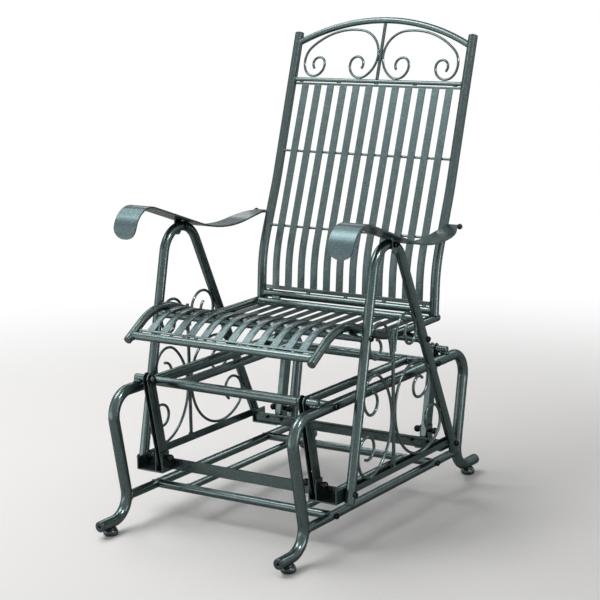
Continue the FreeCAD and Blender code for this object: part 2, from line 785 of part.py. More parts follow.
bar = doc.addObject("Part::Box", "platform_bar_form")
bar.Length = 2 * (flange_outer - gauge)
bar.setExpression("Width", "dims.platform_bar_gauge")
bar.setExpression("Height", "dims.platform_bar_height")
place(bar, "0", "-dims.platform_bar_reach - dims.platform_bar_gauge / 2", "dims.tray_floor")
bar.setExpression("Placement.Base.x", f"{gauge - flange_outer}")
bar_face = -S["platform_bar_reach"] - S["platform_bar_gauge"] / 2
bar_bolts = []
bar_drills = []
for k, side in enumerate((-S["tray_bolt_side"], S["tray_bolt_side"])):
    face = V(arm_plane + side, bar_face, S["tray_bolt_height"])
    head = button(face, V(0, -1, 0), S["tray_bolt_head"], S["tray_bolt_head_height"])
    grip = S["platform_bar_gauge"] + S["bolt_grip"]
    shank = Part.makeCylinder(S["bolt_diameter"] / 2, grip, face, V(0, 1, 0))
    bar_bolts.append(head.fuse(shank).removeSplitter())
    hole_radius = S["bolt_diameter"] / 2 + S["bolt_clearance"]
    hole = Part.makeCylinder(hole_radius, 2 * grip, face - V(0, grip / 2, 0), V(0, 1, 0))
    bar_drills.append(solid(f"bar_drill_{k}", hole))
four("tray_bolts", solid("tray_bolt_form", Part.makeCompound(bar_bolts)))
front_tray_left = mirrored("front_tray_left", front_tray, ACROSS)
frame_drill_left = mirrored("frame_drill_left", frame_drills[0], ACROSS)
bar_drills += [mirrored(f"bar_drill_left_{k}", hole, ACROSS) for k, hole in enumerate(bar_drills)]
bar_tools = [front_tray, front_tray_left, frame_drills[0], frame_drill_left] + bar_drills
front_bar = node(cut("platform_bar_cut", bar, bar_tools), "front_platform_bar")
rear_tray_left = mirrored("rear_tray_left", rear_tray, ACROSS)
rear_bar = mirrored("platform_bar_rear", cut("platform_bar_bored", bar, bar_drills), ALONG)
rear_drill_left = mirrored("rear_drill_left", frame_drills[1], ACROSS)
rear_tools = [rear_tray, rear_tray_left, frame_drills[1], rear_drill_left]
node(cut("rear_bar_cut", rear_bar, rear_tools), "rear_platform_bar")

wall = S["channel_gauge"]
floor = S["tray_floor"] + S["channel_lift"]
outer_face = S["frame_plane"] + wall / 2
channel_section = [
    (flange_outer, floor),
    (outer_face, floor),
    (outer_face, floor + S["channel_outer_height"]),
    (outer_face - wall, floor + S["channel_outer_height"]),
    (outer_face - wall, floor + wall),
    (flange_outer + wall, floor + wall),
    (flange_outer + wall, floor + S["channel_inner_height"]),
    (flange_outer, floor + S["channel_inner_height"]),
]
channel_ends = [
    on_limb(limb, floor + S["channel_inner_height"])[0] + inward * S["bolt_diameter"]
    for limb, inward in ((front_limb, 1), (rear_limb, -1))
]
channel = outline_pad("channel_form", channel_section, "XZ_Plane", f"{channel_ends[1] - channel_ends[0]}")
channel.Placement.Base = V(0, sum(channel_ends) / 2, 0)
pair(cut("right_channel", channel, [frame_core]), "right_side_channel", "left_side_channel")

# Scrollwork of the arm frames, bent from round rod. Each scroll is set against the centre bar and,
# for the large ones, on the edge of the side channel.

panel_foot = floor + S["channel_outer_height"]
panel_foot_text = "(dims.tray_floor + dims.channel_lift + dims.channel_outer_height)"
panel_bar_run = f"dims.panel_bar_top - {panel_foot_text}"
panel_bar = straight_bar("panel_bar_form", "panel_bar", panel_bar_run, "XY_Plane")
panel_bar_middle = f"(dims.panel_bar_top + {panel_foot_text}) / 2"
place(panel_bar, "dims.frame_plane", "-dims.panel_bar_reach", panel_bar_middle)
both_sides("panel_centre_bars", [panel_bar])

bar_face = (S["panel_bar"] + S["scroll_rod"]) / 2
hook_top = S["panel_bar_top"] + S["hook_rise"]


def against_bar(path, front, foot, top):
    """Path moved to touch the centre bar, and to stand at `foot` or reach up to `top`."""
    box = wire_of(path).BoundBox
    across = -S["panel_bar_reach"] + (-bar_face - box.XMax if front else bar_face - box.XMin)
    up = top - box.YMax if foot is None else foot + S["scroll_rod"] / 2 - box.YMin
    return carried(path, across, up)


def scroll_path(heading, bends, front, foot=None, top=None):
    """Scroll against the centre bar, so large that it touches the limb as well."""
    limb = wire_of(front_limb if front else rear_limb)
    wanted = (S["frame_tube"] + S["scroll_rod"]) / 2
    low = 0.2
    high = 3.0
    for halving in range(40):
        scale = (low + high) / 2
        path = bend_path((0, 0), heading, [(radius * scale, turn) for radius, turn in bends])
        path = against_bar(path, front, foot, top)
        if wire_of(path).distToShape(limb)[0] > wanted:
            low = scale
        else:
            high = scale
    return path


front_scroll = scroll_path(
    1.5, [(24, -221), (42.5, -179), (117, -118), (48, -143), (33, -90), (24, -180)], True, foot=panel_foot
)
rear_scroll = scroll_path(
    133, [(24, 208), (41.5, 176), (92, 94), (119, 148), (42, 141), (29, 150)], False, foot=panel_foot
)
front_hook = scroll_path(354, [(21, -211), (40.5, -207), (168, -21)], True, top=hook_top)
rear_hook = scroll_path(212, [(24, 223), (42, 177), (270, 10)], False, top=hook_top)
scrolls = []
for name, path in (("front_scroll", front_scroll), ("rear_scroll", rear_scroll),
                   ("front_hook", front_hook), ("rear_hook", rear_hook)):
    rod = bent_bar(name + "_form", path, "scroll_rod", "YZ_Plane")
    place(rod, "dims.frame_plane")
    scrolls.append(rod)
pair(scrolls[0], "right_front_scroll", "left_front_scroll")
pair(scrolls[1], "right_rear_scroll", "left_rear_scroll")
both_sides("scroll_hooks", scrolls[2:])

# Seat

post_tube = bent_bar("post_form", post_path, "post_tube", "YZ_Plane", "tube_wall")
post_core = bent_bar("post_core", post_path, "post_tube", "YZ_Plane")
seat_tube = bent_bar("seat_tube_form", seat_path, "seat_tube", "YZ_Plane", "tube_wall")
seat_core = bent_bar("seat_core", seat_path, "seat_tube", "YZ_Plane")
for item in (post_tube, post_core, seat_tube, seat_core):
    place(item, "dims.seat_plane")
post_core_left = mirrored("post_core_left", post_core, ACROSS)
seat_core_left = mirrored("seat_core_left", seat_core, ACROSS)
pair(seat_tube, "right_seat_rail", "left_seat_rail")
pair(cut("right_post", post_tube, [seat_core]), "right_back_post", "left_back_post")

front_tube_at = S["seat_front_setback"]
rear_tube_at = path_length(seat_path) - S["seat_rear_gap"]
end_cores = []
for label, distance in (("seat_front_tube", front_tube_at), ("seat_rear_tube", rear_tube_at)):
    spot = at_length(seat_path, distance)[:2]
    stock = straight_bar(label + "_form", "seat_end_tube", "2 * dims.seat_plane", "YZ_Plane", "tube_wall")
    stock.Placement.Base = V(0, *spot)
    saddles = [seat_core, seat_core_left, post_core, post_core_left]
    node(cut(label + "_cut", stock, saddles), label)
    core = straight_bar(label + "_core", "seat_end_tube", "2 * dims.seat_plane", "YZ_Plane")
    core.Placement.Base = V(0, *spot)
    end_cores.append(core)

seat_clear = "2 * dims.seat_plane - dims.seat_tube"
back_clear = "2 * dims.seat_plane - dims.post_tube"
end_radius = S["seat_end_tube"] / 2
front_strip = (front_tube_at + end_radius, front_tube_at + end_radius + S["strip_width"])
rear_strip = (rear_tube_at - end_radius - S["strip_width"], rear_tube_at - end_radius)


def strip_pair(name, path, spans, clear):
    strips = [
        ribbon(f"{name}_{k}", trimmed(path, *span), S["slat_gauge"], clear, "YZ_Plane")
        for k, span in enumerate(spans)
    ]
    return node(gathered(name, strips), name)


def slat_row(name, path):
    """Evenly spaced slats bent along a path, the row centred on the chair."""
    body = ribbon(name, path, S["slat_gauge"], "dims.slat_width", "YZ_Plane")
    body.AllowCompound = True
    row = body.newObject("PartDesign::LinearPattern", name + "_spacing")
    row.Originals = [body.Group[-2]]
    row.Direction = (plane(body, "X_Axis"), [""])
    row.setExpression("Length", "dims.slat_pitch * (dims.slat_count - 1)")
    row.setExpression("Occurrences", "dims.slat_count")
    body.Tip = row
    body.setExpression("Placement.Base.x", "-dims.slat_pitch * (dims.slat_count - 1) / 2")
    return node(body, name)


strip_pair("seat_strips", seat_path, [front_strip, rear_strip], seat_clear)
slat_row("seat_slats", trimmed(seat_path, front_strip[1], rear_strip[0]))

# Back, its upper part lying in a plane leaning with the posts. The slats run straight from the low
# bend up to the header tube.

post_length = path_length(post_path)
straight_top = math.hypot(post_top[0] - high_bend[0], post_top[1] - high_bend[1])
lean = math.degrees(math.atan2(post_top[0] - high_bend[0], post_top[1] - high_bend[1]))
back_plane = FreeCAD.Placement(V(0, *high_bend), FreeCAD.Rotation(V(1, 0, 0), -lean))
bottom_spot = at_length(post_path, S["back_bottom_tube"] / 2 + S["back_bottom_lift"])[:2]
header_spot = at_length(post_path, post_length - straight_top + S["header_rise"])[:2]
post_saddles = [post_core, post_core_left]
for label, tube, spot in (("back_bottom_tube", "back_bottom_tube", bottom_spot),
                          ("back_header_tube", "header_tube", header_spot)):
    stock = straight_bar(label + "_form", tube, "2 * dims.seat_plane", "YZ_Plane", "tube_wall")
    stock.Placement.Base = V(0, *spot)
    node(cut(label + "_cut", stock, post_saddles + [seat_core, seat_core_left]), label)

back_path = corner_path([bottom_spot, low_bend, header_spot], [S["post_low_bend"]])
under_header = path_length(back_path) - S["header_tube"] / 2
on_bottom = S["back_bottom_tube"] / 2
bottom_strip = (on_bottom, on_bottom + S["strip_width"])
header_strip = (under_header - S["header_strip_width"], under_header)
strip_pair("back_strips", back_path, [bottom_strip, header_strip], back_clear)
slat_row("back_slats", trimmed(back_path, bottom_strip[1], header_strip[0]))

rods = []
behind = shifted(back_path, -(S["slat_gauge"] + S["back_rod"]) / 2)
for k, height in enumerate((S["lower_rod_height"], S["upper_rod_height"])):
    spot = at_length(behind, distance_where(behind, 1, height))[:2]
    stock = straight_bar(f"back_rod_form_{k}", "back_rod", "2 * dims.seat_plane", "YZ_Plane")
    stock.Placement.Base = V(0, *spot)
    rods.append(cut(f"back_rod_cut_{k}", stock, post_saddles))
node(gathered("back_rods", rods), "back_rods")

half_span = S["seat_plane"]
arch_radius = (half_span ** 2 + S["arch_lift"] ** 2) / (2 * S["arch_lift"])
arch_half = math.degrees(math.asin(half_span / arch_radius))
arch_path = bend_path((half_span, S["arch_end_rise"]), 180 - arch_half, [(arch_radius, 2 * arch_half)])
arch = bent_bar("arch_form", arch_path, "arch_tube", "XZ_Plane", "tube_wall")
arch.Placement = back_plane
node(cut("arch_cut", arch, post_saddles), "back_top_arch")

crest_foot = S["header_rise"] + S["header_tube"] / 2
crest_top = S["arch_end_rise"] + S["arch_lift"] - S["arch_tube"] / 2
crest_bar = straight_bar("crest_bar_form", "crest_bar", f"{crest_top - crest_foot}", "XY_Plane")
crest_bar.Placement = back_plane.multiply(
    FreeCAD.Placement(V(0, 0, (crest_top + crest_foot) / 2), FreeCAD.Rotation())
)
node(crest_bar, "crest_centre_bar")

# The crest scroll's radii are in proportion. It stands on the header tube against the centre bar and is
# as large as its distance from the arch and the post allows.
crest_bends = [(16, -212), (28, -170), (49, -70), (167, -50), (61, -139), (30, -141), (18, -200)]
crest_limits = (
    (wire_of(arch_path), S["arch_tube"] / 2),
    (Part.makeLine(V(-half_span, crest_foot, 0), V(-half_span, crest_top, 0)), S["post_tube"] / 2),
)


def crest_at(scale):
    """Crest scroll of one scale, in its place."""
    path = bend_path((0, 0), 134.7, [(radius * scale, turn) for radius, turn in crest_bends])
    box = wire_of(path).BoundBox
    beside_bar = -(S["crest_bar"] + S["crest_rod"]) / 2 - box.XMax
    return carried(path, beside_bar, crest_foot + S["crest_rod"] / 2 - box.YMin)


def crest_room(path):
    """Least gap between the crest scroll's rod and the tubes round it."""
    line = wire_of(path)
    return min(line.distToShape(limit)[0] - radius for limit, radius in crest_limits) - S["crest_rod"] / 2


low = 0
high = (crest_top - crest_foot) / wire_of(crest_at(1)).BoundBox.YLength
for halving in range(40):
    crest_path = crest_at((low + high) / 2)
    if crest_room(crest_path) > S["crest_headroom"]:
        low = (low + high) / 2
    else:
        high = (low + high) / 2
crest = bent_bar("crest_scroll_form", crest_path, "crest_rod", "XZ_Plane")
crest.Placement = back_plane
both_sides("crest_scrolls", [crest])

seat_spot = at_length(seat_path, rear_tube_at)[:2]
link = V(bottom_spot[0] - seat_spot[0], bottom_spot[1] - seat_spot[1], 0)
side = V(-link.y, link.x, 0).normalize() * (S["bracket_gauge"] / 2)
ends = [V(*seat_spot, 0), V(*bottom_spot, 0)]
link_points = [ends[0] + side, ends[1] + side, ends[1] - side, ends[0] - side]
link_outline = [(point.x, point.y) for point in link_points]
bracket = outline_pad("seat_back_bracket", link_outline, "YZ_Plane", "dims.bracket_width")
place(bracket, "dims.bracket_plane")
bottom_core = straight_bar("bottom_core", "back_bottom_tube", "2 * dims.seat_plane", "YZ_Plane")
bottom_core.Placement.Base = V(0, *bottom_spot)
both_sides("seat_back_brackets", [cut("bracket_cut", bracket, [end_cores[1], bottom_core])])

# Armrests: a strip rolled over at the front, resting on the arm frame's bend and on a lug of the post

lug_spot = at_length(post_path, distance_where(post_path, 1, S["lug_height"]))[:2]
bend_start = frame_path[1]
bend_centre = (
    bend_start[0] - math.sin(bend_start[2]) / bend_start[4],
    bend_start[1] + math.cos(bend_start[2]) / bend_start[4],
)
fall = math.radians(S["armrest_fall"])
climb = math.radians(S["armrest_climb"])
frame_rest = S["frame_apex_bend"] + (S["frame_tube"] + S["armrest_gauge"]) / 2
lug_rest = (S["lug_diameter"] + S["armrest_gauge"]) / 2
on_frame = (bend_centre[0] + frame_rest * math.sin(fall), bend_centre[1] + frame_rest * math.cos(fall))
on_lug = (lug_spot[0] - lug_rest * math.sin(climb), lug_spot[1] + lug_rest * math.cos(climb))
slope_gap = on_lug[1] - on_frame[1] - math.tan(climb) * on_lug[0] - math.tan(fall) * on_frame[0]
dip = -slope_gap / (math.tan(climb) + math.tan(fall))
front_corner = on_frame[1] + math.tan(fall) * (on_frame[0] + S["armrest_front_reach"])
tip = lug_spot[0] + S["armrest_tip_overhang"]
lip_lean = math.radians(S["armrest_lip_lean"])
lip_turn = math.pi / 2 + lip_lean + fall
lip_run = S["armrest_front_bend"] * math.tan(lip_turn / 2) + S["armrest_lip_straight"]
lip_end = (lip_run * math.sin(lip_lean) - S["armrest_front_reach"],
           front_corner - lip_run * math.cos(lip_lean))
armrest_path = corner_path(
    [
        lip_end,
        (-S["armrest_front_reach"], front_corner),
        (dip, on_frame[1] - math.tan(fall) * (dip - on_frame[0])),
        (tip, on_lug[1] + math.tan(climb) * (tip - on_lug[0])),
    ],
    [S["armrest_front_bend"], S["armrest_dip_bend"]],
)
armrest = ribbon("armrest_form", armrest_path, S["armrest_gauge"], "dims.armrest_width", "YZ_Plane")
taper = new_sketch(armrest, "armrest_taper", "XY_Plane")
wide = S["armrest_width"] / 2
over = wide + S["armrest_width"]
beyond = tip + S["armrest_gauge"]
taper_start = -S["armrest_taper_reach"]
tip_inner = S["seat_plane"] + S["post_tube"] / 2 + S["armrest_post_gap"] - S["armrest_plane"]
tip_outer = tip_inner + S["armrest_tip_width"]


def past_tip(start, side):
    """Point beyond the tip on the line from `start` through the tip's corner at `side`."""
    run_on = (beyond - start[1]) / (tip - start[1])
    return start[0] + (side - start[0]) * run_on, beyond


shoulder = (S["armrest_shoulder_side"], S["armrest_shoulder_reach"])
outer_edge = corner_path(
    [(wide, taper_start), shoulder, past_tip(shoulder, tip_outer)], [S["armrest_shoulder_bend"]]
)
for edge in edges(outer_edge):
    taper.addGeometry(edge)
outer_rim = [past_tip(shoulder, tip_outer), (over, beyond), (over, taper_start), (wide, taper_start)]
inner_rim = [(-wide, taper_start), past_tip((-wide, taper_start), tip_inner), (-over, beyond),
             (-over, taper_start), (-wide, taper_start)]
for rim in (outer_rim, inner_rim):
    for start, end in zip(rim, rim[1:]):
        taper.addGeometry(Part.LineSegment(V(*start, 0), V(*end, 0)))
shaped = armrest.newObject("PartDesign::Pocket", "armrest_shaped")
shaped.Profile = taper
shaped.Type = "ThroughAll"
shaped.SideType = "Symmetric"

lip_low = lip_end[1] - S["armrest_gauge"] / 2 * math.sin(lip_lean)
corner = S["armrest_lip_corner"]
lip_sketch = new_sketch(armrest, "armrest_lip_outline", "XZ_Plane")
lip_sketch.AttachmentOffset = FreeCAD.Placement(V(0, 0, -lip_end[0]), FreeCAD.Rotation())
for way in (-1, 1):
    lip_start = (way * (wide - corner), lip_low)
    for edge in edges(bend_path(lip_start, 90 - 90 * way, [(corner, 90 * way)])):
        lip_sketch.addGeometry(edge)
    rim = [(way * wide, lip_low + corner), (way * over, lip_low + corner), (way * over, lip_low - corner),
           (way * (wide - corner), lip_low - corner), lip_start]
    for start, end in zip(rim, rim[1:]):
        lip_sketch.addGeometry(Part.LineSegment(V(*start, 0), V(*end, 0)))
lip_round = armrest.newObject("PartDesign::Pocket", "armrest_lip_round")
lip_round.Profile = lip_sketch
lip_round.setExpression("Length", "2 * dims.armrest_front_bend")
lip_round.SideType = "Symmetric"
doc.recompute()


def tip_corners(shape):
    """Names of the short edges across the strip's thickness at the tip of the armrest."""
    y, z, heading = at_length(armrest_path, path_length(armrest_path))
    found = []
    for k, edge in enumerate(shape.Edges, 1):
        middle = edge.CenterOfMass
        near = math.hypot(middle.y - y, middle.z - z) < S["armrest_gauge"] / 4
        if near and abs(edge.Length - S["armrest_gauge"]) < S["armrest_gauge"] / 8:
            found.append(f"Edge{k}")
    return found


tip_round = armrest.newObject("PartDesign::Fillet", "armrest_tip_round")
tip_round.Base = (lip_round, tip_corners(lip_round.Shape))
tip_round.setExpression("Radius", "dims.armrest_tip_corner")
place(armrest, "dims.armrest_plane")
pair(armrest, "right_armrest", "left_armrest")

under = S["armrest_gauge"] / 2 / math.cos(fall)


def underside(y):
    return on_frame[1] - math.tan(fall) * (y - on_frame[0]) - under


# Strap hanging from the armrest on the outer face of the arm frame's bend, bolted through the tube
tab_half = S["tab_width"] / 2
tab_front = tab_spot[0] - tab_half
tab_rear = tab_spot[0] + tab_half
tab_low = tab_spot[1] - S["tab_drop"]
tab = new_body("tab_form")
tab_outline = new_sketch(tab, "tab_outline", "YZ_Plane")
tab_rim = [
    (tab_rear, tab_low),
    (tab_rear, underside(tab_rear)),
    (tab_front, underside(tab_front)),
    (tab_front, tab_low),
]
for start, end in zip(tab_rim, tab_rim[1:]):
    tab_outline.addGeometry(Part.LineSegment(V(*start, 0), V(*end, 0)))
tab_end = Part.Circle(V(tab_spot[0], tab_low, 0), V(0, 0, 1), tab_half)
tab_outline.addGeometry(Part.ArcOfCircle(tab_end, math.pi, 2 * math.pi))
tab_plate = tab.newObject("PartDesign::Pad", "tab_plate")
tab_plate.Profile = tab_outline
tab_plate.setExpression("Length", "dims.tab_gauge")
tab_plate.SideType = "Symmetric"
pocket_ring(tab, "tab_bolt_hole", "YZ_Plane", tab_spot, bolt_hole)
place(tab, "dims.frame_plane + (dims.frame_tube + dims.tab_gauge) / 2")
both_sides("armrest_tabs", [tab])

lug_start = V(S["seat_plane"], *lug_spot)
ball_front = lug_spot[0] - S["lug_ball"] / 2
side_there = at_length(outer_edge, distance_where(outer_edge, 1, ball_front))[0]
lug_end = S["armrest_plane"] + side_there + S["lug_ball"] / 2 + S["lug_clearance"]
lug = Part.makeCylinder(S["lug_diameter"] / 2, lug_end - S["seat_plane"], lug_start, V(1, 0, 0))
lug = lug.fuse(Part.makeSphere(S["lug_ball"] / 2, V(lug_end, *lug_spot)))
lug_form = solid("lug_form", lug.removeSplitter())
both_sides("armrest_lugs", [cut("lug_cut", lug_form, [post_core])])

# Bolts and caps

rail_face = S["leg_plane"] + S["leg_tube"] / 2
lower_face = S["leg_plane"] + S["lower_rail_tube"] / 2
base_bolts = [
    bolt(V(rail_face, -S["cross_reach"], S["rail_height"]), S["leg_tube"] + S["bolt_grip"]),
    bolt(V(lower_face, -S["cross_reach"], S["lower_rail_height"]), S["lower_rail_tube"] + S["bolt_grip"]),
]
four("base_bolts", solid("base_bolt_form", Part.makeCompound(base_bolts)))

frame_face = S["frame_plane"] + S["frame_tube"] / 2
frame_grip = S["frame_tube"] + gauge + S["bolt_grip"]
frame_bolts = [bolt(V(frame_face, *spot), frame_grip) for spot in foot_bolts + supports]
tab_grip = S["frame_tube"] + S["tab_gauge"] + S["tab_nut_height"] / 2
tab_bolt = bolt(V(frame_face + S["tab_gauge"], *tab_spot), tab_grip)
tab_nut_face = V(S["frame_plane"] - S["frame_tube"] / 2, *tab_spot)
tab_nut = button(tab_nut_face, V(-1, 0, 0), S["tab_nut"], S["tab_nut_height"])
frame_bolts.append(tab_bolt.fuse(tab_nut).removeSplitter())
both_sides("frame_bolts", [solid("frame_bolt_form", Part.makeCompound(frame_bolts))])


def end_cap(path, plane_x, diameter, start):
    """Cap closing one end of a bent tube."""
    y, z, heading = at_length(path, 0 if start else path_length(path))
    way = -1 if start else 1
    outward = V(0, way * math.cos(heading), way * math.sin(heading))
    return button(V(plane_x, y, z), outward, diameter, S["end_cap"])


caps = [
    end_cap(seat_path, S["seat_plane"], S["seat_tube"], True),
    end_cap(seat_path, S["seat_plane"], S["seat_tube"], False),
    end_cap(post_path, S["seat_plane"], S["post_tube"], False),
    end_cap(frame_path, S["frame_plane"], S["frame_tube"], True),
    end_cap(frame_path, S["frame_plane"], S["frame_tube"], False),
]
both_sides("tube_caps", [solid("tube_cap_form", Part.makeCompound(caps))])

doc.recompute()
for item in doc.Objects:
    if "Invalid" in item.State or "Error" in item.State:
        raise RuntimeError(f"{item.Name} did not recompute")
os.makedirs("parts", exist_ok=True)
for item in nodes:
    if item.Shape.isNull() or not item.Shape.isValid():
        raise RuntimeError(f"{item.Label} has no valid shape")
    item.Shape.exportStep(f"parts/{item.Label}.step")
    box = item.Shape.BoundBox
    print(item.Label, len(item.Shape.Solids), round(item.Shape.Volume),
          [round(v, 1) for v in (box.XMin, box.XMax, box.YMin, box.YMax, box.ZMin, box.ZMax)])
print("pieces", len(nodes))
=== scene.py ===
import json
import math

import bmesh
import bpy
import numpy as np
from mathutils import Matrix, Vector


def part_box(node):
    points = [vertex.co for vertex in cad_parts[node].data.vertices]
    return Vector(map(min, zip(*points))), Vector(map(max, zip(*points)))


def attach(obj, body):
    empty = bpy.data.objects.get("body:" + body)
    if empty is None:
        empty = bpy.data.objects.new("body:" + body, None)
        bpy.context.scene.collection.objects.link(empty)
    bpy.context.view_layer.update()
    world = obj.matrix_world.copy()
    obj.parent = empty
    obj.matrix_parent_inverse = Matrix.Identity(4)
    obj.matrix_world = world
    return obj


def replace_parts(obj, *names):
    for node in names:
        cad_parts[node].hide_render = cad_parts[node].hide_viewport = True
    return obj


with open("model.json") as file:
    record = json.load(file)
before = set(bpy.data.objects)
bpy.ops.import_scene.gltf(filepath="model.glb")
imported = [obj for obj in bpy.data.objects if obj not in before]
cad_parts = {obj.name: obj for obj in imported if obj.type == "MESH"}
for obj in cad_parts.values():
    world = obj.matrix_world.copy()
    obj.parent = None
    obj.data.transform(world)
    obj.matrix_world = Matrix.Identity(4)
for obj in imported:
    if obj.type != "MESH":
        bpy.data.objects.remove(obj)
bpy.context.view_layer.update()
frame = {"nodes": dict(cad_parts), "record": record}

nodes = frame["nodes"]
slots = {item["node"]: item["material_slot"] for item in frame["record"]["subparts"]}


# Shader maths

class Value:
    """A shader socket usable in Python expressions; every operator adds one Math node."""

    def __init__(self, tree, socket):
        self.tree = tree
        self.socket = socket

    def math(self, operation, *terms):
        return self.tree.node("ShaderNodeMath", {"operation": operation}, dict(enumerate(terms)))

    def __add__(self, other):
        return self.math("ADD", self, other)

    def __radd__(self, other):
        return self.math("ADD", other, self)

    def __sub__(self, other):
        return self.math("SUBTRACT", self, other)

    def __rsub__(self, other):
        return self.math("SUBTRACT", other, self)

    def __mul__(self, other):
        return self.math("MULTIPLY", self, other)

    def __rmul__(self, other):
        return self.math("MULTIPLY", other, self)

    def __abs__(self):
        return self.math("ABSOLUTE", self)


class Tree:
    """The node tree of a material or the world, emptied and filled node by node."""

    def __init__(self, owner):
        owner.use_nodes = True
        self.owner = owner
        self.nodes = owner.node_tree.nodes
        self.links = owner.node_tree.links
        self.nodes.clear()

    def node(self, kind, settings=None, sockets=None, output=0):
        """Adds a node, its settings first, then values or links of its sockets; gives one output."""
        made = self.nodes.new(kind)
        for name, value in (settings or {}).items():
            setattr(made, name, value)
        for key, value in (sockets or {}).items():
            if isinstance(value, Value):
                self.links.new(value.socket, made.inputs[key])
            else:
                made.inputs[key].default_value = value
        return Value(self, made.outputs[output]) if len(made.outputs) else None

    def place(self):
        """The point of the surface in Object coordinates."""
        return self.node("ShaderNodeTexCoord", output="Object")

    def blend(self, share, first, second):
        """Colour going from the first to the second as share goes from 0 to 1."""
        return self.node("ShaderNodeMix", {"data_type": "RGBA"}, {0: share, 6: first, 7: second}, 2)

    def mix(self, share, first, second):
        """Shader going from the first to the second as share goes from 0 to 1."""
        return self.node("ShaderNodeMixShader", None, {0: share, 1: first, 2: second})

    def ramp(self, value, low, high):
        """0 below low, 1 above high, smooth between them."""
        limits = {"Value": value, "From Min": low, "From Max": high}
        return self.node("ShaderNodeMapRange", {"interpolation_type": "SMOOTHSTEP"}, limits)

    def noise(self, place, scale, detail):
        return self.node("ShaderNodeTexNoise", None, {"Vector": place, "Scale": scale, "Detail": detail})

    def grains(self, place, scale):
        """Random number from 0 to 1, one for each cell of a Voronoi pattern."""
        cells = self.node("ShaderNodeTexVoronoi", None, {"Vector": place, "Scale": scale}, "Color")
        return self.node("ShaderNodeSeparateColor", None, {"Color": cells})

    def relief(self, strength, depth, height):
        """Normal of a surface with bumps that are depth metres high where height is 1."""
        return self.node("ShaderNodeBump", None, {"Strength": strength, "Distance": depth, "Height": height})

    def surface(self, sockets):
        return self.node("ShaderNodeBsdfPrincipled", None, sockets)

    def finish(self, shader):
        """Ends a material's tree with its shader and gives the material."""
        self.node("ShaderNodeOutputMaterial", None, {"Surface": shader})
        return self.owner


def rgba(colour):
    return (*colour, 1.0)


# Finishes: colours, shares, scales of the patterns in cells per metre, depths in metres

DEEP_GREEN = (0.056, 0.081, 0.079)
PALE_GREEN = (0.124, 0.168, 0.166)
BLACK = (0.016, 0.018, 0.018)
WORN_BLACK = (0.034, 0.037, 0.037)
DEEP_STEEL = (0.045, 0.055, 0.055)
PALE_STEEL = (0.090, 0.105, 0.105)
DEEP_PLASTIC = (0.024, 0.036, 0.035)
PALE_PLASTIC = (0.052, 0.072, 0.070)
PAINT_EDGE = (0.08, 0.1, 0.1)
ENAMEL_EDGE = (0.05, 0.05, 0.05)

# Colour factors of the slat and armrest copies of the coat: their bluer tone is a painted sky reflection,
# the paint being the same as on the tubes
NO_PAINTED_SKY_TINT = (1.0, 1.0, 1.0)
SHEET_PAINTED_SKY_TINT = (0.99, 1.0, 1.04)
ARMREST_PAINTED_SKY_TINT = (0.95, 1.01, 1.07)

TUBE_DIMPLES = 0.32
TUBE_ROUGHNESS = 0.2
SHEET_DIMPLES = 0.2
SHEET_ROUGHNESS = 0.32
ARMREST_DIMPLES = 0.3
ARMREST_ROUGHNESS = 0.4

HAMMER_SCALE = 300.0
PEEL_SCALE = 1300.0
FLAKE_SCALE = 620.0
CLOUD_SCALE = 14.0
DIMPLE_DEPTH = 0.0006
PEEL_SHARE = 0.3
FLAKE_LIMITS = (0.55, 1.0)
FLAKE_SHARE = 0.55
FLAKE_ROUGHNESS = 0.1
CREST_LIMITS = (0.35, 0.7)
CREST_SHARE = 0.3
CLOUD_SHARE = 0.08
CLOUD_ROUGHNESS = 0.06

ENAMEL_PATCH_SCALE = 160.0
ENAMEL_GRAIN_SCALE = 1500.0
ENAMEL_PATCH_LIMITS = (0.4, 0.75)
ENAMEL_GRAIN = 0.15
ENAMEL_DEPTH = 0.0002

PLASTIC_PATCH_SCALE = 60.0
PLASTIC_GRAIN_SCALE = 900.0
PLASTIC_GRAIN = 0.2
PLASTIC_DEPTH = 0.0003

BALL_START = 0.2738
BALL_FADE = 0.0004


def paint_shader(tree, dimples, roughness, painted_sky_tint=NO_PAINTED_SKY_TINT):
    """Metallic powder coat: fine flakes in a dark grey-green ground, over shallow hammer dimples. A bluish
    tint on both colours is a painted sky reflection.
    """
    deep, pale = (rgba(np.multiply(colour, painted_sky_tint)) for colour in (DEEP_GREEN, PALE_GREEN))
    place = tree.place()
    hammer = tree.noise(place, HAMMER_SCALE, 2.0)
    orange_peel = tree.noise(place, PEEL_SCALE, 1.0)
    flakes = tree.grains(place, FLAKE_SCALE)
    clouds = tree.noise(place, CLOUD_SCALE, 3.0)
    glints = tree.ramp(flakes, *FLAKE_LIMITS) * FLAKE_SHARE
    crests = tree.ramp(hammer, *CREST_LIMITS) * CREST_SHARE
    return tree.surface({
        "Base Color": tree.blend(glints + crests + (clouds - 0.5) * CLOUD_SHARE, deep, pale),
        "Metallic": 0.8,
        "Roughness": roughness + (flakes - 0.5) * FLAKE_ROUGHNESS + (clouds - 0.5) * CLOUD_ROUGHNESS,
        "Specular Tint": rgba(PAINT_EDGE),
        "Coat Weight": 0.12,
        "Coat Roughness": 0.1,
        "Normal": tree.relief(dimples, DIMPLE_DEPTH, hammer + orange_peel * PEEL_SHARE),
    })


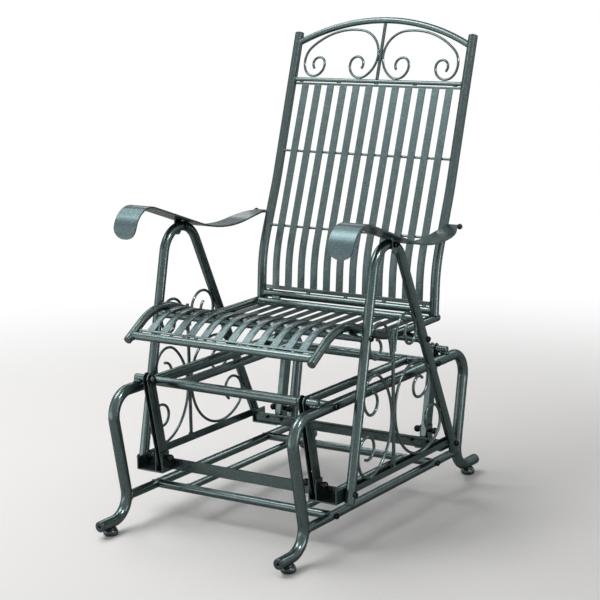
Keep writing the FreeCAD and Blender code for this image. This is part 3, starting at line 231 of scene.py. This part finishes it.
def enamel_shader(tree, deep, pale):
    """Gloss fastener finish with faint grain and dulled patches."""
    place = tree.place()
    patches = tree.noise(place, ENAMEL_PATCH_SCALE, 3.0)
    grain = tree.noise(place, ENAMEL_GRAIN_SCALE, 1.0)
    return tree.surface({
        "Base Color": tree.blend(tree.ramp(patches, *ENAMEL_PATCH_LIMITS), rgba(deep), rgba(pale)),
        "Metallic": 1.0,
        "Roughness": 0.12 + patches * 0.1,
        "Specular Tint": rgba(ENAMEL_EDGE),
        "Normal": tree.relief(ENAMEL_GRAIN, ENAMEL_DEPTH, grain),
    })


def hammered_paint(name, dimples, roughness, painted_sky_tint=NO_PAINTED_SKY_TINT):
    tree = Tree(bpy.data.materials.new(name))
    return tree.finish(paint_shader(tree, dimples, roughness, painted_sky_tint))


def enamel(name, deep, pale):
    tree = Tree(bpy.data.materials.new(name))
    return tree.finish(enamel_shader(tree, deep, pale))


def lug_finish(name):
    """Painted rod whose ball end, beyond the ball's start on either side, is gloss black."""
    tree = Tree(bpy.data.materials.new(name))
    across = tree.node("ShaderNodeSeparateXYZ", None, {"Vector": tree.place()}, "X")
    ball = tree.ramp(abs(across), BALL_START - BALL_FADE, BALL_START + BALL_FADE)
    paint = paint_shader(tree, TUBE_DIMPLES, TUBE_ROUGHNESS)
    black = enamel_shader(tree, BLACK, WORN_BLACK)
    return tree.finish(tree.mix(ball, paint, black))


def moulded_plastic(name, deep, pale):
    """Dark glossy moulded plastic with a fine grain, duller where the grain is high."""
    tree = Tree(bpy.data.materials.new(name))
    place = tree.place()
    grain = tree.noise(place, PLASTIC_GRAIN_SCALE, 2.0)
    patches = tree.noise(place, PLASTIC_PATCH_SCALE, 3.0)
    return tree.finish(tree.surface({
        "Base Color": tree.blend(grain * 0.5 + patches * 0.5, rgba(deep), rgba(pale)),
        "Metallic": 0.5,
        "Roughness": 0.17 + (grain - 0.5) * 0.12,
        "Normal": tree.relief(PLASTIC_GRAIN, PLASTIC_DEPTH, grain),
    }))


finishes = {
    "frame_paint": hammered_paint("dark_green_hammer_coat", TUBE_DIMPLES, TUBE_ROUGHNESS),
    "bolt_black": enamel("gloss_black", BLACK, WORN_BLACK),
    "cap_plastic": moulded_plastic("dark_cap_plastic", DEEP_PLASTIC, PALE_PLASTIC),
}
# Slat and armrest copies of the coat, with their own dimples and roughness and a bluer tint that is a
# painted sky reflection
sheet_coat_with_painted_sky_tint = hammered_paint("dark_green_sheet_coat_painted_sky_tint", SHEET_DIMPLES, SHEET_ROUGHNESS, SHEET_PAINTED_SKY_TINT)
armrest_coat_with_painted_sky_tint = hammered_paint("dark_green_armrest_coat_painted_sky_tint", ARMREST_DIMPLES, ARMREST_ROUGHNESS, ARMREST_PAINTED_SKY_TINT)
special = {
    "seat_slats": sheet_coat_with_painted_sky_tint,
    "back_slats": sheet_coat_with_painted_sky_tint,
    "armrest_lugs": lug_finish("lug_with_black_ball"),
    "upper_pivot_pins": enamel("dark_steel", DEEP_STEEL, PALE_STEEL),
}

for node, part in nodes.items():
    part.data.materials.clear()
    part.data.materials.append(special.get(node, finishes[slots[node]]))


# Eased edges, with their widths, of the pieces cut from flat bar and sheet and of the toe caps

EDGE_WIDTHS = {
    "seat_slats": 0.0008,
    "back_slats": 0.0008,
    "corner_brackets": 0.0007,
    "front_platform_bar": 0.001,
    "rear_platform_bar": 0.001,
    "right_side_channel": 0.0007,
    "left_side_channel": 0.0007,
    "seat_back_brackets": 0.0008,
    "right_front_swing_arm": 0.0007,
    "left_front_swing_arm": 0.0007,
    "right_rear_swing_arm": 0.0007,
    "left_rear_swing_arm": 0.0007,
    "armrest_tabs": 0.0006,
    "toe_caps": 0.0022,
}
MERGE_DISTANCE = 0.00001
EDGE_ANGLE = math.radians(40.0)


def ease_edges(made, width):
    """Rounds the edges that are sharper than the edge angle."""
    ease = made.modifiers.new("eased_edges", "BEVEL")
    ease.width = width
    ease.segments = 2
    ease.limit_method = "ANGLE"
    ease.angle_limit = EDGE_ANGLE


for node, width in EDGE_WIDTHS.items():
    merge = nodes[node].modifiers.new("merge", "WELD")
    merge.merge_threshold = MERGE_DISTANCE
    ease_edges(nodes[node], width)


# Surfaces of the new pieces

X_AXIS = np.array([1.0, 0.0, 0.0])
Y_AXIS = np.array([0.0, 1.0, 0.0])
ACROSS = 0
FORE_AND_AFT = 1

# Beads, rims and dabs: pitch of the ripples in metres, numbers of points, shares of a radius

RIPPLE = 0.0022
FEWEST_RIPPLES = 6
BEAD_POINTS = 8
BEAD_LEAST = 0.92
BEAD_RIPPLE = 0.16
BEAD_WAVE = 0.08
SLOW_WAVES = 3
RIM_POINTS = 72
RIM_SHARE = 0.97
RIM_DEPTH = 1.5
DAB_RINGS = 9
DAB_POINTS = 14
DAB_POLE = 1.45


def corners_of(node):
    """The node's vertices as one array, in metres."""
    data = nodes[node].data.vertices
    flat = np.empty(len(data) * 3)
    data.foreach_get("co", flat)
    return flat.reshape(-1, 3)


def unit(vectors):
    return vectors / np.linalg.norm(vectors, axis=-1, keepdims=True)


def full_turn(count):
    """Angles that divide a full turn evenly, from 0."""
    return np.linspace(0, 2 * math.pi, count, endpoint=False)


def shell(rings, wrap=False):
    """Points and groups of faces over a stack of closed rings, each joined to the next; the last joins the
    first if wrap, and otherwise a polygon closes either end."""
    count, around = rings.shape[:2]
    grid = np.arange(count * around).reshape(count, around)
    low = grid if wrap else grid[:-1]
    high = np.roll(grid, -1, 0) if wrap else grid[1:]
    quads = np.stack([low, np.roll(low, -1, 1), np.roll(high, -1, 1), high], -1)
    groups = [quads.reshape(-1, 4)]
    if not wrap:
        groups.append(np.stack([grid[0, ::-1], grid[-1]]))
    return rings.reshape(-1, 3), groups


def put_in_scene(name, data):
    made = bpy.data.objects.new(name, data)
    bpy.context.scene.collection.objects.link(made)
    return made


def smooth_piece(mesh, finish, body):
    """Object of a mesh that is already in place, shaded smooth, riding on a body, with the given finish."""
    mesh.polygons.foreach_set("use_smooth", np.ones(len(mesh.polygons), bool))
    mesh.materials.append(finish)
    made = put_in_scene(mesh.name, mesh)
    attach(made, body)
    return made


def piece(name, shells, body, slot):
    """One object of closed shells, their faces turned outwards, with the finish of its slot."""
    points = np.concatenate([own for own, groups in shells])
    starts = np.cumsum([0] + [len(own) for own, groups in shells])
    faces = []
    for start, (own, groups) in zip(starts, shells):
        for group in groups:
            faces += (group + start).tolist()
    mesh = bpy.data.meshes.new(name)
    mesh.from_pydata(points.tolist(), [], faces)
    form = bmesh.new()
    form.from_mesh(mesh)
    bmesh.ops.recalc_face_normals(form, faces=form.faces)
    form.to_mesh(mesh)
    form.free()
    return smooth_piece(mesh, finishes[slot], body)


def bead(rim, outward, size, phase):
    """Weld bead round a closed rim: a circle carried along it, its radius swelling and shrinking in
    ripples a couple of millimetres apart and in three slow waves round the rim."""
    steps = np.linalg.norm(np.roll(rim, -1, 0) - rim, axis=1)
    length = steps.sum()
    travel = (np.cumsum(steps) - steps) / length
    ripples = max(FEWEST_RIPPLES, round(length / RIPPLE))
    ripple = BEAD_RIPPLE * np.abs(np.sin(math.pi * ripples * travel + phase))
    slow_wave = BEAD_WAVE * np.sin(2 * math.pi * SLOW_WAVES * travel + phase)
    radius = size * (BEAD_LEAST + ripple + slow_wave)
    along = unit(np.roll(rim, -1, 0) - np.roll(rim, 1, 0))
    across = np.cross(along, outward)
    turn = full_turn(BEAD_POINTS)[:, None]
    rings = rim[:, None] + radius[:, None, None] * (
        np.cos(turn) * outward[:, None] + np.sin(turn) * across[:, None]
    )
    return shell(rings, wrap=True)


def tube_rim(node, axis, end, keep=None):
    """Rim of a straight tube's end: for every angle round its axis, the outermost point of that end."""
    points = corners_of(node)
    if keep is not None:
        points = points[keep(points)]
    first, second = [k for k in range(3) if k != axis]
    centre = (points.min(0) + points.max(0)) / 2
    spokes = points - centre
    reach = np.hypot(spokes[:, first], spokes[:, second])
    radius = reach.max()
    half = np.abs(spokes[:, axis]).max()
    rim = (reach > RIM_SHARE * radius) & (end * spokes[:, axis] > half - RIM_DEPTH * radius)
    angle = np.arctan2(spokes[rim, second], spokes[rim, first])
    order = np.argsort(angle)
    turn = np.linspace(-math.pi, math.pi, RIM_POINTS, endpoint=False)
    outward = np.zeros((RIM_POINTS, 3))
    outward[:, first] = np.cos(turn)
    outward[:, second] = np.sin(turn)
    ring = centre + radius * outward
    ring[:, axis] = np.interp(turn, angle[order], points[rim, axis][order], period=2 * math.pi)
    return ring, outward


def dab(centre, along, normal, length, width, height):
    """Lump of weld: an ellipsoid with half axes along a line, across it and out of the surface."""
    along = unit(np.asarray(along, float))
    normal = unit(np.asarray(normal, float) - along * (np.asarray(normal, float) @ along))
    across = np.cross(along, normal)
    latitude = np.linspace(-DAB_POLE, DAB_POLE, DAB_RINGS)[:, None, None]
    turn = full_turn(DAB_POINTS)[None, :, None]
    rings = (
        np.asarray(centre)
        + along * length * np.sin(latitude)
        + across * width * np.cos(latitude) * np.cos(turn)
        + normal * height * np.cos(latitude) * np.sin(turn)
    )
    return shell(rings)


# Armrests, each with its tail drawn in to end against the rod of its lug

TAIL_START = 0.205
TAIL_TIP = 0.2742
TAIL_INNER = 0.2515
TAIL_SHIFT = 0.0142
TAIL_DROP = 0.0055
TAIL_SPREAD = 1.2
ARMREST_EDGE = 0.001


def armrest_plate(name, node):
    """The CAD strip with a blunter tail: with t going from 0 at the tail's start to 1 at its tip, points
    move forwards and down by t squared, and away from the post by the fourth power of t."""
    points = corners_of(node)
    t = np.clip((points[:, 1] - TAIL_START) / (TAIL_TIP - TAIL_START), 0.0, 1.0)
    inner = np.sign(points[:, 0]) * TAIL_INNER
    points[:, 0] = inner + (points[:, 0] - inner) * (1.0 + TAIL_SPREAD * t**4)
    points[:, 1] -= TAIL_SHIFT * t**2
    points[:, 2] -= TAIL_DROP * t**2
    own = nodes[node].data
    loops = np.empty(len(own.loops), int)
    own.loops.foreach_get("vertex_index", loops)
    mesh = bpy.data.meshes.new(name)
    mesh.from_pydata(points.tolist(), [], loops.reshape(-1, 3).tolist())
    form = bmesh.new()
    form.from_mesh(mesh)
    bmesh.ops.remove_doubles(form, verts=form.verts, dist=MERGE_DISTANCE)
    form.to_mesh(mesh)
    form.free()
    made = smooth_piece(mesh, armrest_coat_with_painted_sky_tint, "carriage")
    mesh.set_sharp_from_angle(angle=EDGE_ANGLE)
    ease_edges(made, ARMREST_EDGE)
    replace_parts(made, node)


armrest_plate("right_armrest_plate", "right_armrest")
armrest_plate("left_armrest_plate", "left_armrest")


# Strips beside the end tubes, set off from the tube by a slit and joined to it by stitches of weld

EVEN_STITCHES = (-0.93, -0.46, 0.0, 0.46, 0.93)
FRONT_STITCHES = (-0.97, -0.60, -0.45, -0.31, -0.10, 0.17, 0.41, 0.97)
SLIT = 0.0022
FRONT_SLIT = 0.0064
STITCH_LENGTH = 0.006
STITCH_LAP = 0.0012
STITCH_HEIGHT = 0.0019
BAR_POINTS = 32
BAR_POWER = 0.35
BAR_STATIONS = np.concatenate([[-1.0, -0.9985], np.linspace(-0.99, 0.99, 23), [0.9985, 1.0]])
BAR_END = 0.8


def flat_bars(node):
    """The straight bars of a node: middle, half lengths along x, across and through, and the directions."""
    points = corners_of(node)
    upper = points[:, 2] > (points[:, 2].min() + points[:, 2].max()) / 2
    upright = np.ptp(points[:, 2]) > np.ptp(points[:, 1])
    rear = points[:, 1] > (points[:, 1].min() + points[:, 1].max()) / 2
    split = upper if upright else rear
    bars = []
    for part in (points[~split], points[split]):
        middle = (part.min(0) + part.max(0)) / 2
        spread = part[:, 1:] - middle[1:]
        axes = np.linalg.eigh(spread.T @ spread)[1]
        wide = np.array([0.0, *axes[:, 1]])
        thin = np.array([0.0, *axes[:, 0]])
        half_length = np.ptp(part[:, 0]) / 2
        half_width = np.abs((part - middle) @ wide).max()
        half_gauge = np.abs((part - middle) @ thin).max()
        bars.append((middle, half_length, half_width, half_gauge, wide, thin))
    return bars


def rounded_bar(middle, half_length, half_width, half_gauge, wide, thin):
    """Flat bar along x: a superellipse section carried from end to end, drawn in at the ends."""
    turn = full_turn(BAR_POINTS)
    u = np.sign(np.cos(turn)) * np.abs(np.cos(turn)) ** BAR_POWER * half_width
    v = np.sign(np.sin(turn)) * np.abs(np.sin(turn)) ** BAR_POWER * half_gauge
    section = u[:, None] * wide + v[:, None] * thin
    shrink = np.where(np.abs(BAR_STATIONS) == 1.0, BAR_END, 1.0)
    line = middle + BAR_STATIONS[:, None] * half_length * X_AXIS
    return shell(line[:, None] + shrink[:, None, None] * section)


def slit_strips(name, node, joins):
    """Bars in place of a strip node, each a slit away from its tube, with stitches across the slit."""
    shells = []
    for bar, (tube, slit, stitches) in zip(flat_bars(node), joins):
        middle, half_length, half_width, half_gauge, wide, thin = bar
        low, high = (np.array(corner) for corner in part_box(tube))
        toward_tube = wide * np.sign(((low + high) / 2 - middle) @ wide)
        moved = middle - toward_tube * slit / 2
        shells.append(rounded_bar(moved, half_length, half_width - slit / 2, half_gauge, wide, thin))
        for share in stitches:
            spot = middle + toward_tube * half_width + share * half_length * X_AXIS
            shells.append(dab(spot, X_AXIS, thin, STITCH_LENGTH, STITCH_LAP + slit, STITCH_HEIGHT))
    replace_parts(piece(name, shells, "carriage", "frame_paint"), node)


slit_strips("seat_strip_bars", "seat_strips", [
    ("seat_front_tube", FRONT_SLIT, FRONT_STITCHES),
    ("seat_rear_tube", SLIT, EVEN_STITCHES),
])
slit_strips("back_strip_bars", "back_strips", [
    ("back_bottom_tube", SLIT, EVEN_STITCHES),
    ("back_header_tube", SLIT, EVEN_STITCHES),
])


# Weld beads where tubes meet, with their radii, and the height that parts the upper rod from the lower

CARRIAGE_BEADS = {
    "seat_front_tube": 0.0022,
    "seat_rear_tube": 0.0022,
    "back_bottom_tube": 0.0022,
    "back_header_tube": 0.0017,
    "front_seat_support": 0.0022,
    "rear_seat_support": 0.0022,
}
ROD_BEAD = 0.0013
RAIL_BEAD = 0.0024
BRACE_BEAD = 0.002
ROD_SPLIT = 0.68


def end_beads(beads, node, axis, size, keep=None):
    """Adds a bead round either end of a tube, its ripples out of step with those of the last bead."""
    for end in (-1, 1):
        beads.append(bead(*tube_rim(node, axis, end, keep), size, len(beads)))


carriage_beads = []
for node, size in CARRIAGE_BEADS.items():
    end_beads(carriage_beads, node, ACROSS, size)
for keep in (lambda points: points[:, 2] > ROD_SPLIT, lambda points: points[:, 2] < ROD_SPLIT):
    end_beads(carriage_beads, "back_rods", ACROSS, ROD_BEAD, keep)
piece("carriage_weld_beads", carriage_beads, "carriage", "frame_paint")

base_beads = []
for side in ("right", "left"):
    end_beads(base_beads, f"{side}_lower_rail", FORE_AND_AFT, RAIL_BEAD)
for node in ("upper_brace_bars", "lower_brace_bars"):
    for keep in (lambda points: points[:, 0] > 0, lambda points: points[:, 0] < 0):
        end_beads(base_beads, node, FORE_AND_AFT, BRACE_BEAD, keep)
piece("base_weld_beads", base_beads, "base", "frame_paint")


# Welds of the scrollwork, on both faces wherever a rod touches a bar, sized by their three half axes

CONTACT_GAP = 0.0012
CONTACT_APART = 0.015
ROD_WELD = (0.0048, 0.0026, 0.0016)
ROD_WELD_RISE = 0.0022
FOOT_WELD = (0.006, 0.0024, 0.0022)
FOOT_WELD_RISE = 0.0035

# Bars as two ends and a radius: centre bar, front and rear limb of the arm frame, side channel

FRAME_PLANE = 0.2755
CENTRE_BAR_FOOT = (-0.035, 0.1365)
PANEL_BARS = [
    ((-0.035, 0.136), (-0.035, 0.448), 0.004),
    ((-0.222, 0.104), (-0.101, 0.654), 0.011),
    ((0.244, 0.104), (-0.024, 0.654), 0.011),
    ((-0.200, 0.130), (0.200, 0.130), 0.006),
]

# The same for the crest: centre bar, header tube

CREST_FACE = np.array([0.0, -0.95, 0.3123])
CREST_BARS = [
    ((0.0, 0.3741, 0.9451), (0.0, 0.4169, 1.0752), 0.004),
    ((-0.2287, 0.3726, 0.9403), (0.2287, 0.3726, 0.9403), 0.005),
]


def rod_welds(node, start, end, radius, face):
    """Dabs where a node's rods touch a straight bar: of the rods' points that lie within a small gap of
    the bar's surface, the nearest one in each stretch of the bar, with one dab on either face."""
    points = corners_of(node)
    start = np.array(start)
    bar = np.array(end) - start
    along = unit(bar)
    travel = (points - start) @ along
    spokes = points - start - travel[:, None] * along
    reach = np.linalg.norm(spokes, axis=1)
    inside = (travel > 0) & (travel < np.linalg.norm(bar))
    near = np.flatnonzero(inside & (reach < radius + CONTACT_GAP))
    near = near[np.argsort(travel[near])]
    breaks = np.flatnonzero(np.diff(travel[near]) > CONTACT_APART) + 1
    shells = []
    for group in np.split(near, breaks):
        if len(group):
            best = group[np.argmin(reach[group])]
            spot = start + travel[best] * along + spokes[best] / reach[best] * radius
            for side in (-1, 1):
                shells.append(dab(spot + side * ROD_WELD_RISE * face, along, face, *ROD_WELD))
    return shells


scroll_welds = []
for side, sign in (("right", 1), ("left", -1)):
    plane = sign * FRAME_PLANE
    for node in (f"{side}_front_scroll", f"{side}_rear_scroll", "scroll_hooks"):
        for low, high, radius in PANEL_BARS:
            scroll_welds += rod_welds(node, (plane, *low), (plane, *high), radius, X_AXIS)
    for face in (-1, 1):
        spot = (plane + face * FOOT_WELD_RISE, *CENTRE_BAR_FOOT)
        scroll_welds.append(dab(spot, Y_AXIS, X_AXIS, *FOOT_WELD))
for low, high, radius in CREST_BARS:
    scroll_welds += rod_welds("crest_scrolls", low, high, radius, CREST_FACE)
piece("scroll_welds", scroll_welds, "carriage", "frame_paint")


# Welds of the pivot stubs on the top rails: a run along either side and a cap over the outer end

STUB_Y = 0.281
STUB_Z = 0.331
STUB_END = 0.238
RAIL_TOP = 0.3235
CAP_WELD = (0.0079, 0.0079, 0.0024)
CAP_SINK = 0.0006
LIP_WELD = (0.0072, 0.0036, 0.0042)
LIP_REACH = 0.001
RUN_DABS = ((0.2265, 0.0052), (0.2335, 0.0060))
RUN_WIDTH = 0.0034
RUN_HEIGHT = 0.0030
RUN_OFFSET = 0.0068
RUN_RISE = 0.0012

stub_welds = []
for side in (-1, 1):
    for y in (-STUB_Y, STUB_Y):
        cap = (side * (STUB_END - CAP_SINK), y, STUB_Z)
        stub_welds.append(dab(cap, Y_AXIS, X_AXIS, *CAP_WELD))
        lip = (side * (STUB_END + LIP_REACH), y, RAIL_TOP)
        stub_welds.append(dab(lip, Y_AXIS, (1, 0, 1), *LIP_WELD))
        for edge in (-1, 1):
            for x, length in RUN_DABS:
                spot = (side * x, y + edge * RUN_OFFSET, RAIL_TOP + RUN_RISE)
                stub_welds.append(dab(spot, X_AXIS, (0, edge, 1), length, RUN_WIDTH, RUN_HEIGHT))
piece("stub_welds", stub_welds, "base", "frame_paint")


# Foot pads: a bulging cup with a dished top and a short neck into the toe's underside

PAD_SPOTS = [(x, y) for x in (-0.233, 0.233) for y in (-0.396, 0.396)]
PAD_POINTS = 40
SIDE_STEPS = 15
RIM_STEPS = 7
RIM_FROM = 0.2
TREAD_RADIUS = 0.0115
SIDE_BULGE = 0.0055
SIDE_POWER = 0.8
SIDE_HALF_HEIGHT = 0.0068
RIM_RADIUS = 0.0126
RIM_HALF_WIDTH = 0.0016
RIM_LEVEL = 0.0139
RIM_RISE = 0.0018
DISH_RADIUS = 0.0100
DISH_LEVEL = 0.0125
NECK_RADIUS = 0.0080
NECK_FOOT = 0.0127
NECK_TOP = 0.0210


def puck(x, y):
    """Surface of revolution: a half circle swung out from a flat tread to a bulging side and up to the rim,
    a half circle over the rim, a flat dish inside it, then a straight neck."""
    sweep = np.linspace(-math.pi / 2, math.pi / 2, SIDE_STEPS)
    over = np.linspace(RIM_FROM, math.pi, RIM_STEPS)
    radius = np.concatenate([
        TREAD_RADIUS + SIDE_BULGE * np.cos(sweep) ** SIDE_POWER,
        RIM_RADIUS + RIM_HALF_WIDTH * np.cos(over),
        [DISH_RADIUS, NECK_RADIUS, NECK_RADIUS],
    ])
    height = np.concatenate([
        SIDE_HALF_HEIGHT + SIDE_HALF_HEIGHT * np.sin(sweep),
        RIM_LEVEL + RIM_RISE * np.sin(over),
        [DISH_LEVEL, NECK_FOOT, NECK_TOP],
    ])
    turn = full_turn(PAD_POINTS)
    rings = np.empty((len(radius), len(turn), 3))
    rings[..., 0] = x + radius[:, None] * np.cos(turn)
    rings[..., 1] = y + radius[:, None] * np.sin(turn)
    rings[..., 2] = height[:, None]
    return shell(rings)


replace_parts(piece("foot_pucks", [puck(*spot) for spot in PAD_SPOTS], "base", "cap_plastic"), "foot_pads")


# Studio: pale floor, white surroundings

FLOOR_HALF = 60.0
FLOOR_NEAR = 0.9
FLOOR_FAR = 2.6
FLOOR_SPECKS = 120.0
FLOOR_DARK = (0.82, 0.81, 0.80)
FLOOR_PALE = (0.87, 0.86, 0.85)
WHITE = (1.0, 1.0, 1.0)
SOFT_LEVEL = 0.4


def seen_directly(tree):
    """1 for camera, mirror and see-through rays, 0 for rays that carry light onto things."""
    camera = tree.node("ShaderNodeLightPath", output="Is Camera Ray")
    glossy = tree.node("ShaderNodeLightPath", output="Is Glossy Ray")
    through = tree.node("ShaderNodeLightPath", output="Is Transmission Ray")
    return camera.math("MAXIMUM", camera.math("MAXIMUM", camera, glossy), through)


def pale_floor():
    """Pale matt floor near the chair, white farther off where it is looked at directly."""
    tree = Tree(bpy.data.materials.new("pale_floor"))
    place = tree.place()
    distance = tree.node("ShaderNodeVectorMath", {"operation": "LENGTH"}, {0: place}, "Value")
    far = tree.ramp(distance, FLOOR_NEAR, FLOOR_FAR)
    colour = tree.blend(tree.noise(place, FLOOR_SPECKS, 3.0), rgba(FLOOR_DARK), rgba(FLOOR_PALE))
    matt = tree.surface({"Base Color": colour, "Roughness": 0.7, "Specular IOR Level": 0.0})
    white = tree.node("ShaderNodeEmission", None, {"Color": rgba(WHITE), "Strength": 1.0})
    return tree.finish(tree.mix(far * seen_directly(tree), matt, white))


floor_mesh = bpy.data.meshes.new("floor")
corners = FLOOR_HALF * np.array([(-1, -1, 0), (1, -1, 0), (1, 1, 0), (-1, 1, 0)])
floor_mesh.from_pydata(corners.tolist(), [], [(0, 1, 2, 3)])
floor_mesh.materials.append(pale_floor())
floor = put_in_scene("floor", floor_mesh)

world = bpy.data.worlds.new("studio")
bpy.context.scene.world = world
surroundings = Tree(world)
soft = surroundings.node("ShaderNodeBackground", None, {"Color": rgba(WHITE), "Strength": SOFT_LEVEL})
white = surroundings.node("ShaderNodeBackground", None, {"Color": rgba(WHITE), "Strength": 1.0})
backdrop = surroundings.mix(seen_directly(surroundings), soft, white)
surroundings.node("ShaderNodeOutputWorld", None, {"Surface": backdrop})


# Lamps: name, azimuth and elevation in degrees, distance, width and height in metres, watts

LAMPS = [
    ("front_left_softbox", -38.0, 10.0, 3.0, 1.6, 1.3, 8.5),
    ("overhead_softbox", -50.0, 60.0, 3.0, 1.8, 1.8, 48.0),
    ("left_sky_softbox", -112.0, 50.0, 3.0, 1.4, 1.0, 25.0),
]

# Lamps that only show as reflections, so that the light on matt surfaces stays plain

REFLECTED_LAMPS = [
    ("sky_strip", -56.0, 60.0, 3.0, 0.7, 1.5, 32.0),
    ("right_low_strip", 93.0, -2.0, 2.2, 0.4, 1.0, 10.0),
    ("rear_strip", 165.0, 30.0, 3.2, 1.4, 0.45, 18.0),
    ("rear_left_strip", -143.0, 28.0, 3.2, 1.2, 0.6, 22.0),
    ("low_front_panel", -38.0, -11.9, 1.5, 2.0, 0.34, 4.4),
    ("sparkle", 80.0, 45.0, 3.0, 0.25, 0.25, 60.0),
]
CHAIR_MIDDLE = np.array([0.0, 0.0, 0.5])


def direction(turn, rise):
    """Unit vector turned from the front towards the right and raised above the level, in radians."""
    return np.array([math.sin(turn) * math.cos(rise), -math.cos(turn) * math.cos(rise), math.sin(rise)])


def softbox(name, azimuth, elevation, distance, width, height, watts):
    """Lamp on a sphere about the chair's middle, facing it."""
    data = bpy.data.lights.new(name, "AREA")
    data.shape = "RECTANGLE"
    data.size = width
    data.size_y = height
    data.energy = watts
    lamp = put_in_scene(name, data)
    turn = math.radians(azimuth)
    rise = math.radians(elevation)
    lamp.location = CHAIR_MIDDLE + direction(turn, rise) * distance
    lamp.rotation_euler = (math.pi / 2 - rise, 0.0, turn)
    lamp.visible_camera = False
    return lamp


for lamp in LAMPS:
    softbox(*lamp)
for lamp in REFLECTED_LAMPS:
    softbox(*lamp).visible_diffuse = False


# Camera, at the angle and distance solved from the photograph

AZIMUTH = math.radians(33.114)
ELEVATION = math.radians(11.4086)
ROLL = math.radians(-0.9864)
DISTANCE = 3.95743
TARGET = np.array([0.010436, 0.006677, 0.476796])
SENSOR = 36.0
FOCAL_PIXELS = 1754.853
IMAGE_WIDTH = 600

toward = direction(AZIMUTH, ELEVATION)
level = np.array([math.cos(AZIMUTH), math.sin(AZIMUTH), 0.0])
upward = np.cross(toward, level)
placing = np.eye(4)
placing[:3, 0] = math.cos(ROLL) * level + math.sin(ROLL) * upward
placing[:3, 1] = math.cos(ROLL) * upward - math.sin(ROLL) * level
placing[:3, 2] = toward
placing[:3, 3] = TARGET + toward * DISTANCE

lens = bpy.data.cameras.new("camera")
lens.sensor_width = SENSOR
lens.lens = FOCAL_PIXELS * SENSOR / IMAGE_WIDTH
camera = put_in_scene("camera", lens)
camera.matrix_world = Matrix(placing.tolist())
bpy.context.scene.camera = camera

bpy.context.scene.view_settings.view_transform = "Standard"
